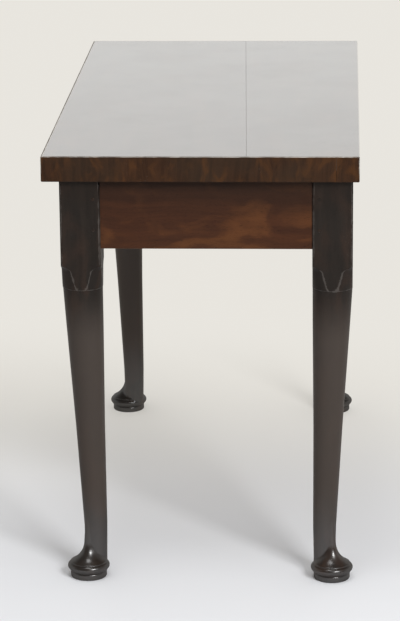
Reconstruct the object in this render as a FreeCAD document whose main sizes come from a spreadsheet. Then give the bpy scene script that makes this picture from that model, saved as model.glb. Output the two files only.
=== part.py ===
import FreeCAD, Part
import math
import os

from FreeCAD import Placement, Rotation, Vector

# A lowboy: a small dressing table on four turned pad-foot legs, with one row of
# three shallow drawers along its front.
#
# X runs along the length, Y from the front (negative) to the back, Z up.
# The origin is on the floor, under the middle of the top.  Millimetres.

SIZES = {
    # The top, two boards over a frame of lipping strips
    "height": 715,
    "top_length": 1000,
    "top_depth": 500,
    "top_thickness": 41,
    "board_thickness": 22,
    "front_board_width": 320,
    "seam_skew": 34,
    "seam_gap": 0.35,
    "lipping_width": 70,
    "facing_thickness": 3,
    "facing_patch": 36,
    "facing_joint": 0.5,
    "arris_radius": 2,
    # Where the legs stand under the top
    "front_overhang": 27,
    "back_overhang": 10,
    "end_overhang": 14,
    # The legs: a square stile, a turned lappet, a tapering shaft and a pad foot
    "leg_square": 64,
    "corner_ease": 1.5,
    "knee_drop": 69,
    "lappet_neck": 28,
    "lappet_cove": 12,
    "neck_radius": 32.7,
    "neck_top_radius": 35.5,
    "knee_radius": 32,
    "calf_drop": 60,
    "calf_radius": 30,
    "shin_radius": 23.6,
    "ankle_height": 85,
    "ankle_radius": 18.8,
    "ankle_inset": 12,
    "heel_radius": 17.5,
    "disc_radius": 29.5,
    "disc_height": 9.5,
    "pad_radius": 34.3,
    "pad_height": 18.5,
    "pad_bead": 6,
    "pad_undercut": 1,
    "pad_undercut_height": 5.7,
    "instep_radius": 30,
    "instep_top": 63,
    "instep_throat": 6,
    "instep_sweep": 40,
    # The aprons and the front rails
    "apron_height": 112,
    "apron_thickness": 22,
    "apron_setback": 4,
    "rail_height": 18,
    "rail_depth": 60,
    "rail_setback": 1.5,
    "tenon_length": 25,
    "tenon_thickness": 8,
    "tenon_shoulder": 12,
    "rail_tenon_inset": 10,
    "cheek": 4,
    "joint_clearance": 0.1,
    "mortise_spare": 1.5,
    "dovetail_length": 22,
    "dovetail_root": 30,
    "dovetail_flare": 5,
    "peg_radius": 3,
    "peg_length": 30,
    "peg_clearance": 0.1,
    "peg_inset": 11,
    "peg_spread": 50,
    # What is inside the frame
    "centre_opening": 312,
    "divider_width": 22,
    "stub_length": 8,
    "stub_inset": 5,
    "divider_stub_inset": 15,
    "bearing_width": 12,
    "guide_height": 30,
    "block_side": 20,
    "block_length": 60,
    "block_spread": 150,
    "screw_radius": 2.4,
    "screw_clearance": 0.1,
    "screw_bite": 14,
    "screw_head_radius": 4.5,
    "screw_head_height": 3,
    "screw_recess": 2,
    "screw_setback": 30,
    "screw_spread": 300,
    "back_screw_setback": 10,
    # The drawers
    "drawer_gap": 1,
    "drawer_lift": 0.3,
    "drawer_head_gap": 1.2,
    "drawer_back_gap": 27.5,
    "front_thickness": 22,
    "bead_width": 3,
    "bead_depth": 9,
    "bead_stand": 2.5,
    "lining_thickness": 10,
    "lining_drop": 4,
    "back_drop": 3,
    "bottom_rise": 9,
    "bottom_thickness": 7,
    "groove_depth": 4,
    "tail_length": 10,
    "tail_root": 0.5,
    "tail_end": 0.72,
    "stop_width": 24,
    "stop_length": 22,
    "stop_height": 6,
    "stop_inset": 40,
    # The brass handles
    "handle_span": 64,
    "post_height": 42,
    "rosette_radius": 11,
    "rosette_thickness": 2,
    "neck_post_radius": 3.5,
    "pin_reach": 9.5,
    "ball_radius": 5,
    "shank_radius": 2.5,
    "shank_clearance": 0.1,
    "shank_end": 2,
    "nut_side": 9,
    "nut_thickness": 3.5,
    "pin_radius": 1.5,
    "pin_clearance": 0.08,
    "pin_depth": 4,
    "pin_end_gap": 0.5,
    "bail_radius": 2.2,
    "bail_gap": 0.6,
    "bail_shoulder": 4,
    "bail_neck": 8,
    "bail_bend": 10,
    "bail_flare": 35,
    # The lock of the centre drawer
    "lock_width": 50,
    "lock_height": 34,
    "lock_depth": 9,
    "bolt_width": 16,
    "bolt_thickness": 4,
    "bolt_length": 24,
    "bolt_clearance": 0.3,
    "bolt_travel": 6,
    "keeper_clearance": 1,
    "keyhole_drop": 20,
    "keyhole_radius": 2.2,
    "keyhole_slot": 2.4,
    "keyhole_tail": 7,
    "escutcheon_radius": 9,
    "escutcheon_thickness": 1.2,
}

TAILS_IN_FRONT = 3
TAILS_IN_BACK = 2
NEAR = 0.01

doc = FreeCAD.newDocument("lowboy")
dims = doc.addObject("Spreadsheet::Sheet", "dims")
for row, (name, value) in enumerate(SIZES.items(), start=1):
    dims.set(f"A{row}", name)
    dims.set(f"B{row}", str(value))
    dims.setAlias(f"B{row}", name)
doc.recompute()

# The planes that the pieces share, as expressions on the sheet

TOP = "dims.height"
END = "(dims.top_length / 2)"
BACK = "(dims.top_depth / 2)"
FRONT = f"(-{BACK})"
BOARD_FOOT = "(dims.height - dims.board_thickness)"
FRAME_TOP = "(dims.height - dims.top_thickness)"
FRAME_FOOT = f"({FRAME_TOP} - dims.apron_height)"
FACED_END = f"({END} - dims.facing_thickness)"
FACED_FRONT = f"({FRONT} + dims.facing_thickness)"

KNEE = f"({FRAME_FOOT} - dims.knee_drop)"
CALF = f"({KNEE} - dims.calf_drop)"
LEG_END = f"({END} - dims.end_overhang)"
LEG_INNER = f"({LEG_END} - dims.leg_square)"
LEG_FRONT = f"({FRONT} + dims.front_overhang)"
FRONT_LEG_REAR = f"({LEG_FRONT} + dims.leg_square)"
LEG_BACK = f"({BACK} - dims.back_overhang)"
BACK_LEG_FORE = f"({LEG_BACK} - dims.leg_square)"

APRON_END = f"({LEG_END} - dims.apron_setback)"
APRON_INNER = f"({APRON_END} - dims.apron_thickness)"
APRON_BACK = f"({LEG_BACK} - dims.apron_setback)"
APRON_FORE = f"({APRON_BACK} - dims.apron_thickness)"
TENON_CHEEK = "((dims.apron_thickness - dims.tenon_thickness) / 2)"

RAIL_FRONT = f"({LEG_FRONT} + dims.rail_setback)"
RAIL_REAR = f"({RAIL_FRONT} + dims.rail_depth)"
RAIL_MIDDLE = f"({RAIL_FRONT} + dims.rail_depth / 2)"
UPPER_RAIL_FOOT = f"({FRAME_TOP} - dims.rail_height)"
RUNNER_TOP = f"({FRAME_FOOT} + dims.rail_height)"

DIVIDER_MIDDLE = "((dims.centre_opening + dims.divider_width) / 2)"
SIDE_OPENING = f"({LEG_INNER} - dims.centre_opening / 2 - dims.divider_width)"
SIDE_MIDDLE = f"({LEG_INNER} - {SIDE_OPENING} / 2)"

DRAWER_FLOOR = f"({RUNNER_TOP} + dims.drawer_lift)"
DRAWER_HEAD = f"({UPPER_RAIL_FOOT} - dims.drawer_head_gap)"
FRONT_REAR = f"({RAIL_FRONT} + dims.front_thickness)"
LINING_TOP = f"({DRAWER_HEAD} - dims.lining_drop)"
BOTTOM_TOP = f"({DRAWER_FLOOR} + dims.bottom_rise + dims.bottom_thickness)"
DRAWER_END = f"({APRON_FORE} - dims.drawer_back_gap)"
DRAWER_BACK_FORE = f"({DRAWER_END} - dims.lining_thickness)"
BEAD_NOSE = f"({RAIL_FRONT} - dims.bead_stand + dims.bead_width / 2)"
PIN_HEIGHT = f"({DRAWER_FLOOR} + dims.post_height)"
PIN_LINE = f"({RAIL_FRONT} - dims.pin_reach)"
KEYHOLE = f"({DRAWER_HEAD} - dims.keyhole_drop)"
LOCK_FORE = f"({FRONT_REAR} - dims.lock_depth)"

ALONG = {
    "x": Rotation(Vector(0, 1, 0), 90),
    "y": Rotation(Vector(1, 0, 0), -90),
    "z": Rotation(),
}
SIDES = {"left": -1, "right": 1}

pieces = []


# Helpers


def piece(label, item):
    """Name a finished piece and keep it for writing."""
    item.Label = label
    pieces.append(item)


def bind(item, **expressions):
    """Bind properties of an object to expressions on the sheet."""
    for prop, expression in expressions.items():
        item.setExpression(prop, expression)


def put(item, point):
    """Bind an object's position to three expressions."""
    for axis, expression in zip("xyz", point):
        item.setExpression(f"Placement.Base.{axis}", expression)


def mirror(span, sign):
    """A span along X, on the right as it is or mirrored to the left."""
    low, high = span
    return (low, high) if sign > 0 else (f"-({high})", f"-({low})")


def about(middle, half):
    """A span that reaches half to each side of its middle."""
    return f"{middle} - ({half})", f"{middle} + ({half})"


def grown(spans, slack="dims.joint_clearance"):
    """Spans made larger all round, for the hole that a block goes into."""
    return [(f"{low} - {slack}", f"{high} + {slack}") for low, high in spans]


def block(name, x, y, z):
    """A box between two planes along each axis."""
    item = doc.addObject("Part::Box", name)
    for side, (low, high) in zip(("Length", "Width", "Height"), (x, y, z)):
        item.setExpression(side, f"({high}) - ({low})")
    put(item, (x[0], y[0], z[0]))
    return item


def taper(name, x, left, right, z):
    """A block that spans one stretch of Y at its left end and another at its right end."""
    item = doc.addObject("Part::Wedge", name)
    item.Placement = Placement(Vector(), Rotation(Vector(0, 0, 1), -90))
    bind(item, Ymin=x[0], Ymax=x[1], Zmin=z[0], Z2min=z[0], Zmax=z[1], Z2max=z[1])
    bind(item, Xmin=f"-({left[1]})", Xmax=f"-({left[0]})")
    bind(item, X2min=f"-({right[1]})", X2max=f"-({right[0]})")
    return item


def rod(name, axis, radius, start, length):
    """A cylinder that runs from start along one axis."""
    item = doc.addObject("Part::Cylinder", name)
    item.Placement = Placement(Vector(), ALONG[axis])
    bind(item, Radius=radius, Height=length)
    put(item, start)
    return item


def ring(name, centre, radius, thickness):
    """A whole torus, flat at one height."""
    item = doc.addObject("Part::Torus", name)
    bind(item, Radius1=radius, Radius2=thickness)
    put(item, centre)
    return item


def tail(name, turn, start, root, end, length, thickness):
    """A dovetail: root across where it starts, end across where it ends."""
    item = doc.addObject("Part::Wedge", name)
    item.Placement = Placement(Vector(), turn)
    bind(item, Ymin="0", Ymax=length, Zmin="0", Z2min="0", Zmax=thickness, Z2max=thickness)
    bind(item, Xmin=f"-{root} / 2", Xmax=f"{root} / 2")
    bind(item, X2min=f"-{end} / 2", X2max=f"{end} / 2")
    put(item, start)
    return item


def fuse(name, parts):
    """One solid from several that touch."""
    item = doc.addObject("Part::MultiFuse", name)
    item.Shapes = parts
    item.Refine = True
    return item


def cut(name, base, tools):
    """A piece with one or more holes."""
    item = doc.addObject("Part::Cut", name)
    item.Base = base
    item.Tool = tools[0] if len(tools) == 1 else fuse(f"{name}_holes", tools)
    item.Refine = True
    return item


def group(name, parts):
    """Several alike pieces that stay separate solids."""
    item = doc.addObject("Part::Compound", name)
    item.Links = parts
    return item


def arris(name, base):
    """Round the edges that lie on two outer faces of the whole top."""
    doc.recompute()
    radius = dims.arris_radius
    outer_end = dims.top_length / 2
    outer_side = dims.top_depth / 2
    underside = dims.height - dims.top_thickness
    rounded = []
    for number, edge in enumerate(base.Shape.Edges, start=1):
        middle = edge.CenterOfMass
        distances = (
            abs(middle.x) - outer_end,
            abs(middle.y) - outer_side,
            middle.z - dims.height,
            middle.z - underside,
        )
        if sum(abs(distance) < NEAR for distance in distances) > 1:
            rounded.append((number, radius, radius))
    item = doc.addObject("Part::Fillet", name)
    item.Base = base
    item.Edges = rounded
    return item


# Screws that hold the top: up through the upper rail and through the kickers

SCREW_FOOT = f"({UPPER_RAIL_FOOT} + dims.screw_recess)"
FRONT_SCREW_LINE = f"({RAIL_FRONT} + dims.screw_setback)"
BACK_SCREW_LINE = f"({APRON_FORE} - dims.back_screw_setback)"
FRONT_SCREWS = [
    ("-dims.screw_spread", FRONT_SCREW_LINE),
    ("0", FRONT_SCREW_LINE),
    ("dims.screw_spread", FRONT_SCREW_LINE),
]
KICKER_SCREWS = {
    side: (f"{sign} * {DIVIDER_MIDDLE}", BACK_SCREW_LINE) for side, sign in SIDES.items()
}


def screw(name, spot, slack):
    """A headed screw, or with some slack the hole that it goes into."""
    x, y = spot
    shank_end = f"({FRAME_TOP} + dims.screw_bite)"
    head_foot = SCREW_FOOT if slack == "0" else UPPER_RAIL_FOOT
    head = rod(
        f"{name}_head", "z", f"dims.screw_head_radius + {slack}", (x, y, head_foot),
        f"{SCREW_FOOT} + dims.screw_head_height + {slack} - {head_foot}",
    )
    shank = rod(
        f"{name}_shank", "z", f"dims.screw_radius + {slack}", (x, y, SCREW_FOOT),
        f"{shank_end} + {slack} - {SCREW_FOOT}",
    )
    return fuse(name, [head, shank])


def screw_hole(name, spot):
    return screw(name, spot, "dims.screw_clearance")


def make_top_screws():
    spots = FRONT_SCREWS + list(KICKER_SCREWS.values())
    screws = [screw(f"top_screw_{number}", spot, "0") for number, spot in enumerate(spots)]
    piece("top_screws", group("top_screws", screws))


# The top


def make_top():
    across = (f"-{FACED_END}", FACED_END)
    thick = (BOARD_FOOT, TOP)
    # The front board is narrower at the left end, so the seam runs a little askew.
    right_seam = f"({FACED_FRONT} + dims.front_board_width)"
    left_seam = f"({right_seam} - dims.seam_skew)"
    front_spans = [(FACED_FRONT, seam) for seam in (left_seam, right_seam)]
    piece("top_board_front", taper("top_board_front", across, *front_spans, thick))
    back_spans = [(f"{seam} + dims.seam_gap", BACK) for seam in (left_seam, right_seam)]
    back_board = taper("back_board", across, *back_spans, thick)
    piece("top_board_back", arris("top_board_back", back_board))

    under = (FRAME_TOP, BOARD_FOOT)
    front_edge = f"({FACED_FRONT} + dims.lipping_width)"
    back_edge = f"({BACK} - dims.lipping_width)"
    front_lipping = block("front_lipping", across, (FACED_FRONT, front_edge), under)
    holes = [screw_hole(f"lipping_hole_{spot}", place) for spot, place in enumerate(FRONT_SCREWS)]
    piece("top_lipping_front", cut("top_lipping_front", front_lipping, holes))

    back_lipping = arris("back_lipping", block("back_strip", across, (back_edge, BACK), under))
    holes = [screw_hole(f"{side}_back_hole", place) for side, place in KICKER_SCREWS.items()]
    piece("top_lipping_back", cut("top_lipping_back", back_lipping, holes))

    for side, sign in SIDES.items():
        strip = mirror((f"{FACED_END} - dims.lipping_width", FACED_END), sign)
        name = f"top_lipping_{side}"
        piece(name, block(name, strip, (front_edge, back_edge), under))


def make_facings():
    whole = (FRAME_TOP, TOP)
    front = block("front_facing", (f"-{FACED_END}", FACED_END), (FRONT, FACED_FRONT), whole)
    piece("top_facing_front", arris("top_facing_front", front))

    left = block("left_facing", mirror((FACED_END, END), -1), (FRONT, BACK), whole)
    piece("top_facing_left", arris("top_facing_left", left))

    # The right end is faced in two lengths, with the joint near the back.
    joint = f"({BACK} - dims.facing_patch)"
    long_one = block("long_facing", (FACED_END, END), (FRONT, f"{joint} - dims.facing_joint"), whole)
    short_one = block("short_facing", (FACED_END, END), (joint, BACK), whole)
    lengths = [arris("right_facing_long", long_one), arris("right_facing_short", short_one)]
    piece("top_facing_right", group("top_facing_right", lengths))


# Tenons: each is a list of three spans, along X, Y and Z


def mortise(name, tenon, axis):
    """The hole for a tenon, with spare depth along the tenon's axis."""
    slack = {"x": "dims.joint_clearance", "y": "dims.joint_clearance", "z": "dims.joint_clearance"}
    slack[axis] = "dims.mortise_spare"
    spans = [grown([span], slack[key])[0] for key, span in zip("xyz", tenon)]
    return block(name, *spans)


def side_apron_tenon(sign, at_back):
    x = mirror((f"{APRON_INNER} + {TENON_CHEEK}", f"{APRON_END} - {TENON_CHEEK}"), sign)
    y = (FRONT_LEG_REAR + " - dims.tenon_length", FRONT_LEG_REAR)
    if at_back:
        y = (BACK_LEG_FORE, BACK_LEG_FORE + " + dims.tenon_length")
    z = (f"{FRAME_FOOT} + dims.tenon_shoulder", f"{FRAME_TOP} - dims.tenon_shoulder")
    return [x, y, z]


def back_apron_tenon(sign):
    x = mirror((LEG_INNER, f"{LEG_INNER} + dims.tenon_length"), sign)
    y = (f"{APRON_FORE} + {TENON_CHEEK}", f"{APRON_BACK} - {TENON_CHEEK}")
    z = (f"{FRAME_FOOT} + dims.tenon_shoulder", f"{FRAME_TOP} - dims.tenon_shoulder")
    return [x, y, z]


def lower_rail_tenon(sign):
    x = mirror((LEG_INNER, f"{LEG_INNER} + dims.tenon_length"), sign)
    y = (f"{RAIL_FRONT} + dims.rail_tenon_inset", f"{RAIL_REAR} - dims.rail_tenon_inset")
    z = (f"{FRAME_FOOT} + dims.cheek", f"{RUNNER_TOP} - dims.cheek")
    return [x, y, z]


def divider_stub(sign, upper):
    x = about(f"{sign} * {DIVIDER_MIDDLE}", "dims.divider_width / 2 - dims.stub_inset")
    y = (f"{RAIL_FRONT} + dims.divider_stub_inset", f"{RAIL_REAR} - dims.divider_stub_inset")
    z = (f"{RUNNER_TOP} - dims.stub_length", RUNNER_TOP)
    if upper:
        z = (UPPER_RAIL_FOOT, f"{UPPER_RAIL_FOOT} + dims.stub_length")
    return [x, y, z]


# The bars that run from the front rails to the back apron: two under the
# openings' outer sides, two under the dividers and two kickers over those

BEARING_SPAN = (f"{LEG_INNER} - dims.bearing_width", LEG_INNER)
CENTRE_HALF = "dims.divider_width / 2 + dims.bearing_width"
LOW = (FRAME_FOOT, RUNNER_TOP)
HIGH = (UPPER_RAIL_FOOT, FRAME_TOP)


def bars():
    """Name, span along X and span along Z of each bar."""
    found = {}
    for side, sign in SIDES.items():
        centre = about(f"{sign} * {DIVIDER_MIDDLE}", CENTRE_HALF)
        found[f"side_runner_{side}"] = (mirror(BEARING_SPAN, sign), LOW)
        found[f"centre_runner_{side}"] = (centre, LOW)
        found[f"kicker_{side}"] = (centre, HIGH)
    return found


def bar_stub(x, z, at_back):
    low, high = z
    y = (f"{RAIL_REAR} - dims.stub_length", RAIL_REAR)
    if at_back:
        y = (APRON_FORE, f"{APRON_FORE} + dims.stub_length")
    return [x, y, (f"{low} + dims.cheek", f"{high} - dims.cheek")]


def bar_sockets(height, at_back):
    """The holes for the stubs of all the bars at one height."""
    spans = {name: bar_stub(x, z, at_back) for name, (x, z) in bars().items() if z == height}
    return [block(f"{name}_socket", *grown(stub)) for name, stub in spans.items()]


def make_bars():
    between_legs = (FRONT_LEG_REAR, BACK_LEG_FORE)
    guide_top = f"{RUNNER_TOP} + dims.guide_height"
    for name, (x, z) in bars().items():
        parts = [block(f"{name}_bar", x, (RAIL_REAR, APRON_FORE), z)]
        for at_back in (False, True):
            parts.append(block(f"{name}_stub", *bar_stub(x, z, at_back)))
        side = name.rsplit("_", 1)[1]
        if name.startswith("side_runner"):
            # The side runner is rebated from one thick piece, so it guides as well.
            shelf = mirror((LEG_INNER, APRON_INNER), SIDES[side])
            parts.append(block(f"{name}_guide", shelf, between_legs, (FRAME_FOOT, guide_top)))
        bar = fuse(f"{name}_whole", parts)
        if name.startswith("kicker"):
            bar = cut(f"{name}_bored", bar, [screw_hole(f"{name}_hole", KICKER_SCREWS[side])])
        piece(name, bar)
    for side, sign in SIDES.items():
        x = about(f"{sign} * {DIVIDER_MIDDLE}", "dims.divider_width / 2")
        name = f"centre_guide_{side}"
        piece(name, block(name, x, (RAIL_REAR, APRON_FORE), (RUNNER_TOP, guide_top)))


# Pegs: two through each tenon of the three aprons


def peg_places():
    """Leg, apron, direction and starting point of every peg."""
    places = []
    middle = f"({FRAME_FOOT} + dims.apron_height / 2)"
    front_line = f"{FRONT_LEG_REAR} - dims.peg_inset"
    back_line = f"{BACK_LEG_FORE} + dims.peg_inset"
    for level in (-1, 1):
        z = f"{middle} + {level} * dims.peg_spread / 2"
        for side, sign in SIDES.items():
            x = mirror((f"{LEG_END} - dims.peg_length", LEG_END), sign)[0]
            places.append((f"leg_front_{side}", f"side_apron_{side}", "x", (x, front_line, z)))
            places.append((f"leg_back_{side}", f"side_apron_{side}", "x", (x, back_line, z)))
            start = (f"{sign} * ({LEG_INNER} + dims.peg_inset)", f"{LEG_BACK} - dims.peg_length", z)
            places.append((f"leg_back_{side}", "back_apron", "y", start))
    return places


def peg_holes(name):
    """The peg holes of one leg or apron."""
    bore = "dims.peg_radius + dims.peg_clearance"
    return [
        rod(f"{name}_peg_hole", axis, bore, start, "dims.peg_length")
        for leg, apron, axis, start in peg_places()
        if name in (leg, apron)
    ]


def make_pegs():
    pegs = [
        rod(f"{leg}_peg", axis, "dims.peg_radius", start, "dims.peg_length")
        for leg, apron, axis, start in peg_places()
    ]
    piece("tenon_pegs", group("tenon_pegs", pegs))


# The legs


def rail_dovetail(name, sign, slack):
    """The tail at one end of the upper rail, which drops into the leg's top."""
    turn = Rotation(Vector(0, 0, 1), -90 * sign)
    return tail(
        name, turn, (f"{sign} * {LEG_INNER}", RAIL_MIDDLE, UPPER_RAIL_FOOT),
        f"(dims.dovetail_root + 2 * {slack})",
        f"(dims.dovetail_root + 2 * dims.dovetail_flare + 2 * {slack})",
        f"dims.dovetail_length + {slack}", "dims.rail_height",
    )


def leg_stile(name, x, y):
    """The square upper part, turned away below into a round knee."""
    corner = "(dims.leg_square / 2 * sqrt(2) - dims.corner_ease)"
    neck_top = f"({KNEE} + dims.lappet_neck)"
    bulge = f"({corner} - dims.neck_top_radius)"
    sweep = f"(({bulge} * {bulge} + dims.lappet_cove * dims.lappet_cove) / (2 * {bulge}))"
    half = "dims.leg_square / 2"
    square = block(f"{name}_square", about(x, half), about(y, half), (KNEE, FRAME_TOP))
    neck = doc.addObject("Part::Cone", f"{name}_neck")
    bind(neck, Radius1="dims.neck_radius", Radius2="dims.neck_top_radius", Height="dims.lappet_neck")
    put(neck, (x, y, KNEE))
    drum = rod(f"{name}_drum", "z", corner, (x, y, neck_top), f"{FRAME_TOP} - {neck_top}")
    hollow = ring(f"{name}_hollow", (x, y, neck_top), f"dims.neck_top_radius + {sweep}", sweep)
    turned = fuse(f"{name}_turned", [neck, cut(f"{name}_cove", drum, [hollow])])
    stile = doc.addObject("Part::Common", f"{name}_stile")
    stile.Base = square
    stile.Tool = turned
    return stile


def leg_shaft(name, x, y, inward):
    """The round shaft, turned on a centre that leans inwards to the ankle."""
    inward_x, inward_y = inward
    lean = f"({KNEE} - dims.ankle_height)"
    shin = f"(({CALF} + dims.ankle_height) / 2)"
    sections = (
        (KNEE, "dims.knee_radius"),
        (CALF, "dims.calf_radius"),
        (shin, "dims.shin_radius"),
        ("dims.ankle_height", "dims.ankle_radius"),
        ("dims.pad_height", "dims.heel_radius"),
    )
    circles = []
    for number, (level, radius) in enumerate(sections):
        circle = doc.addObject("Part::Circle", f"{name}_section_{number}")
        inset = f"dims.ankle_inset * min(1; ({KNEE} - {level}) / {lean})"
        bind(circle, Radius=radius)
        put(circle, (f"{x} + {inward_x} * {inset}", f"{y} + {inward_y} * {inset}", level))
        circles.append(circle)
    shaft = doc.addObject("Part::Loft", f"{name}_shaft")
    shaft.Sections = circles
    shaft.Solid = True
    return shaft


def leg_foot(name, x, y):
    """A pad foot on a low disc, with a hollowed instep up to the ankle."""
    disc = rod(f"{name}_disc", "z", "dims.disc_radius", (x, y, "0"), "dims.disc_height")
    bead_line = "(dims.pad_radius - dims.pad_bead)"
    bead = ring(f"{name}_bead", (x, y, "dims.pad_height"), bead_line, "dims.pad_bead")
    core = rod(
        f"{name}_core", "z", bead_line, (x, y, "dims.disc_height"),
        "dims.pad_height + dims.pad_bead - dims.disc_height",
    )
    underside = doc.addObject("Part::Cone", f"{name}_underside")
    bind(underside, Radius1="dims.disc_radius", Radius2="dims.pad_radius - dims.pad_undercut")
    bind(underside, Height="dims.pad_undercut_height")
    put(underside, (x, y, "dims.disc_height"))
    mound = rod(
        f"{name}_mound", "z", "dims.instep_radius", (x, y, "dims.pad_height"),
        "dims.instep_top - dims.pad_height",
    )
    sweep = ring(
        f"{name}_sweep", (x, y, "dims.instep_top"),
        "dims.instep_throat + dims.instep_sweep", "dims.instep_sweep",
    )
    return [disc, bead, core, underside, cut(f"{name}_instep", mound, [sweep])]


def make_leg(end, side):
    name = f"leg_{end}_{side}"
    sign = SIDES[side]
    at_back = end == "back"
    x = f"({sign} * ({LEG_END} - dims.leg_square / 2))"
    y = f"({BACK_LEG_FORE} + dims.leg_square / 2)" if at_back else f"({LEG_FRONT} + dims.leg_square / 2)"
    inward = (-sign, -1 if at_back else 1)
    parts = [leg_stile(name, x, y), leg_shaft(name, x, y, inward)] + leg_foot(name, x, y)
    whole = fuse(f"{name}_whole", parts)

    holes = [mortise(f"{name}_side_mortise", side_apron_tenon(sign, at_back), "y")]
    lengthwise = back_apron_tenon(sign) if at_back else lower_rail_tenon(sign)
    holes.append(mortise(f"{name}_long_mortise", lengthwise, "x"))
    if not at_back:
        holes.append(rail_dovetail(f"{name}_socket", sign, "dims.joint_clearance"))
    holes += peg_holes(name)
    piece(name, cut(name, whole, holes))


# Aprons, rails and dividers


def make_aprons():
    height = (FRAME_FOOT, FRAME_TOP)
    for side, sign in SIDES.items():
        name = f"side_apron_{side}"
        x = mirror((APRON_INNER, APRON_END), sign)
        parts = [block(f"{name}_board", x, (FRONT_LEG_REAR, BACK_LEG_FORE), height)]
        for at_back in (False, True):
            parts.append(block(f"{name}_tenon", *side_apron_tenon(sign, at_back)))
        piece(name, cut(name, fuse(f"{name}_whole", parts), peg_holes(name)))

    board = block("back_board_rail", (f"-{LEG_INNER}", LEG_INNER), (APRON_FORE, APRON_BACK), height)
    tenons = [block("back_apron_tenon", *back_apron_tenon(sign)) for sign in SIDES.values()]
    holes = peg_holes("back_apron") + bar_sockets(LOW, True) + bar_sockets(HIGH, True)
    piece("back_apron", cut("back_apron", fuse("back_apron_whole", [board] + tenons), holes))


def make_rails():
    across = (f"-{LEG_INNER}", LEG_INNER)
    deep = (RAIL_FRONT, RAIL_REAR)

    parts = [block("lower_rail_board", across, deep, LOW)]
    holes = bar_sockets(LOW, False)
    for side, sign in SIDES.items():
        parts.append(block(f"lower_rail_tenon_{side}", *lower_rail_tenon(sign)))
        holes.append(block(f"lower_rail_socket_{side}", *grown(divider_stub(sign, False))))
    piece("lower_drawer_rail", cut("lower_drawer_rail", fuse("lower_rail", parts), holes))

    parts = [block("upper_rail_board", across, deep, HIGH)]
    holes = bar_sockets(HIGH, False)
    for side, sign in SIDES.items():
        parts.append(rail_dovetail(f"upper_rail_tail_{side}", sign, "0"))
        holes.append(block(f"upper_rail_socket_{side}", *grown(divider_stub(sign, True))))
    holes += [screw_hole(f"upper_rail_hole_{spot}", place) for spot, place in enumerate(FRONT_SCREWS)]
    x, y = bolt_spans()
    bolt_top = f"{UPPER_RAIL_FOOT} + dims.bolt_travel"
    keeper = grown([x, y, (UPPER_RAIL_FOOT, bolt_top)], "dims.keeper_clearance")
    holes.append(block("bolt_keeper", *keeper))
    piece("upper_drawer_rail", cut("upper_drawer_rail", fuse("upper_rail", parts), holes))


def make_dividers():
    for side, sign in SIDES.items():
        name = f"drawer_divider_{side}"
        x = about(f"{sign} * {DIVIDER_MIDDLE}", "dims.divider_width / 2")
        parts = [block(f"{name}_post", x, (RAIL_FRONT, RAIL_REAR), (RUNNER_TOP, UPPER_RAIL_FOOT))]
        for upper in (False, True):
            parts.append(block(f"{name}_stub", *divider_stub(sign, upper)))
        piece(name, fuse(name, parts))


def make_glue_blocks():
    blocks = []
    z = (f"{FRAME_TOP} - dims.block_side", FRAME_TOP)
    half = "dims.block_length / 2"
    for sign in SIDES.values():
        x = mirror((f"{APRON_INNER} - dims.block_side", APRON_INNER), sign)
        for step in (-1, 1):
            y = about(f"{step} * dims.block_spread / 2", half)
            blocks.append(block("side_glue_block", x, y, z))
    y = (f"{APRON_FORE} - dims.block_side", APRON_FORE)
    for middle in (f"-{SIDE_MIDDLE}", "0", SIDE_MIDDLE):
        blocks.append(block("back_glue_block", about(middle, half), y, z))
    piece("glue_blocks", group("glue_blocks", blocks))


# The drawers


def drawer_span(middle, opening):
    return about(middle, f"({opening} - 2 * dims.drawer_gap) / 2")


def front_tails(name, x_low):
    """The tails at the front end of one drawer side, whose outer face is at x_low."""
    turn = Rotation(Vector(0, 0, 1), Vector(0, -1, 0), Vector(1, 0, 0), "XYZ")
    pitch = f"(({LINING_TOP} - {DRAWER_FLOOR}) / {TAILS_IN_FRONT})"
    tails = []
    for number in range(TAILS_IN_FRONT):
        z = f"{DRAWER_FLOOR} + {number + 0.5} * {pitch}"
        tails.append(tail(
            f"{name}_front_tail", turn, (x_low, FRONT_REAR, z), f"{pitch} * dims.tail_root",
            f"{pitch} * dims.tail_end", "dims.tail_length", "dims.lining_thickness",
        ))
    return tails


def back_tails(name, x_low):
    """The tails at the back end of one drawer side, through the drawer's back."""
    turn = Rotation(Vector(0, 1, 0), 90)
    pitch = f"(({LINING_TOP} - dims.back_drop - {BOTTOM_TOP}) / {TAILS_IN_BACK})"
    tails = []
    for number in range(TAILS_IN_BACK):
        z = f"{BOTTOM_TOP} + {number + 0.5} * {pitch}"
        tails.append(tail(
            f"{name}_back_tail", turn, (x_low, DRAWER_BACK_FORE, z), f"{pitch} * dims.tail_root",
            f"{pitch} * dims.tail_end", "dims.lining_thickness", "dims.lining_thickness",
        ))
    return tails


def drawer_bottom(name, x):
    low, high = x
    inset = "dims.lining_thickness - dims.groove_depth"
    return block(
        name, (f"{low} + ({inset})", f"{high} - ({inset})"),
        (f"{FRONT_REAR} - dims.groove_depth", DRAWER_END),
        (f"{DRAWER_FLOOR} + dims.bottom_rise", BOTTOM_TOP),
    )


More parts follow.
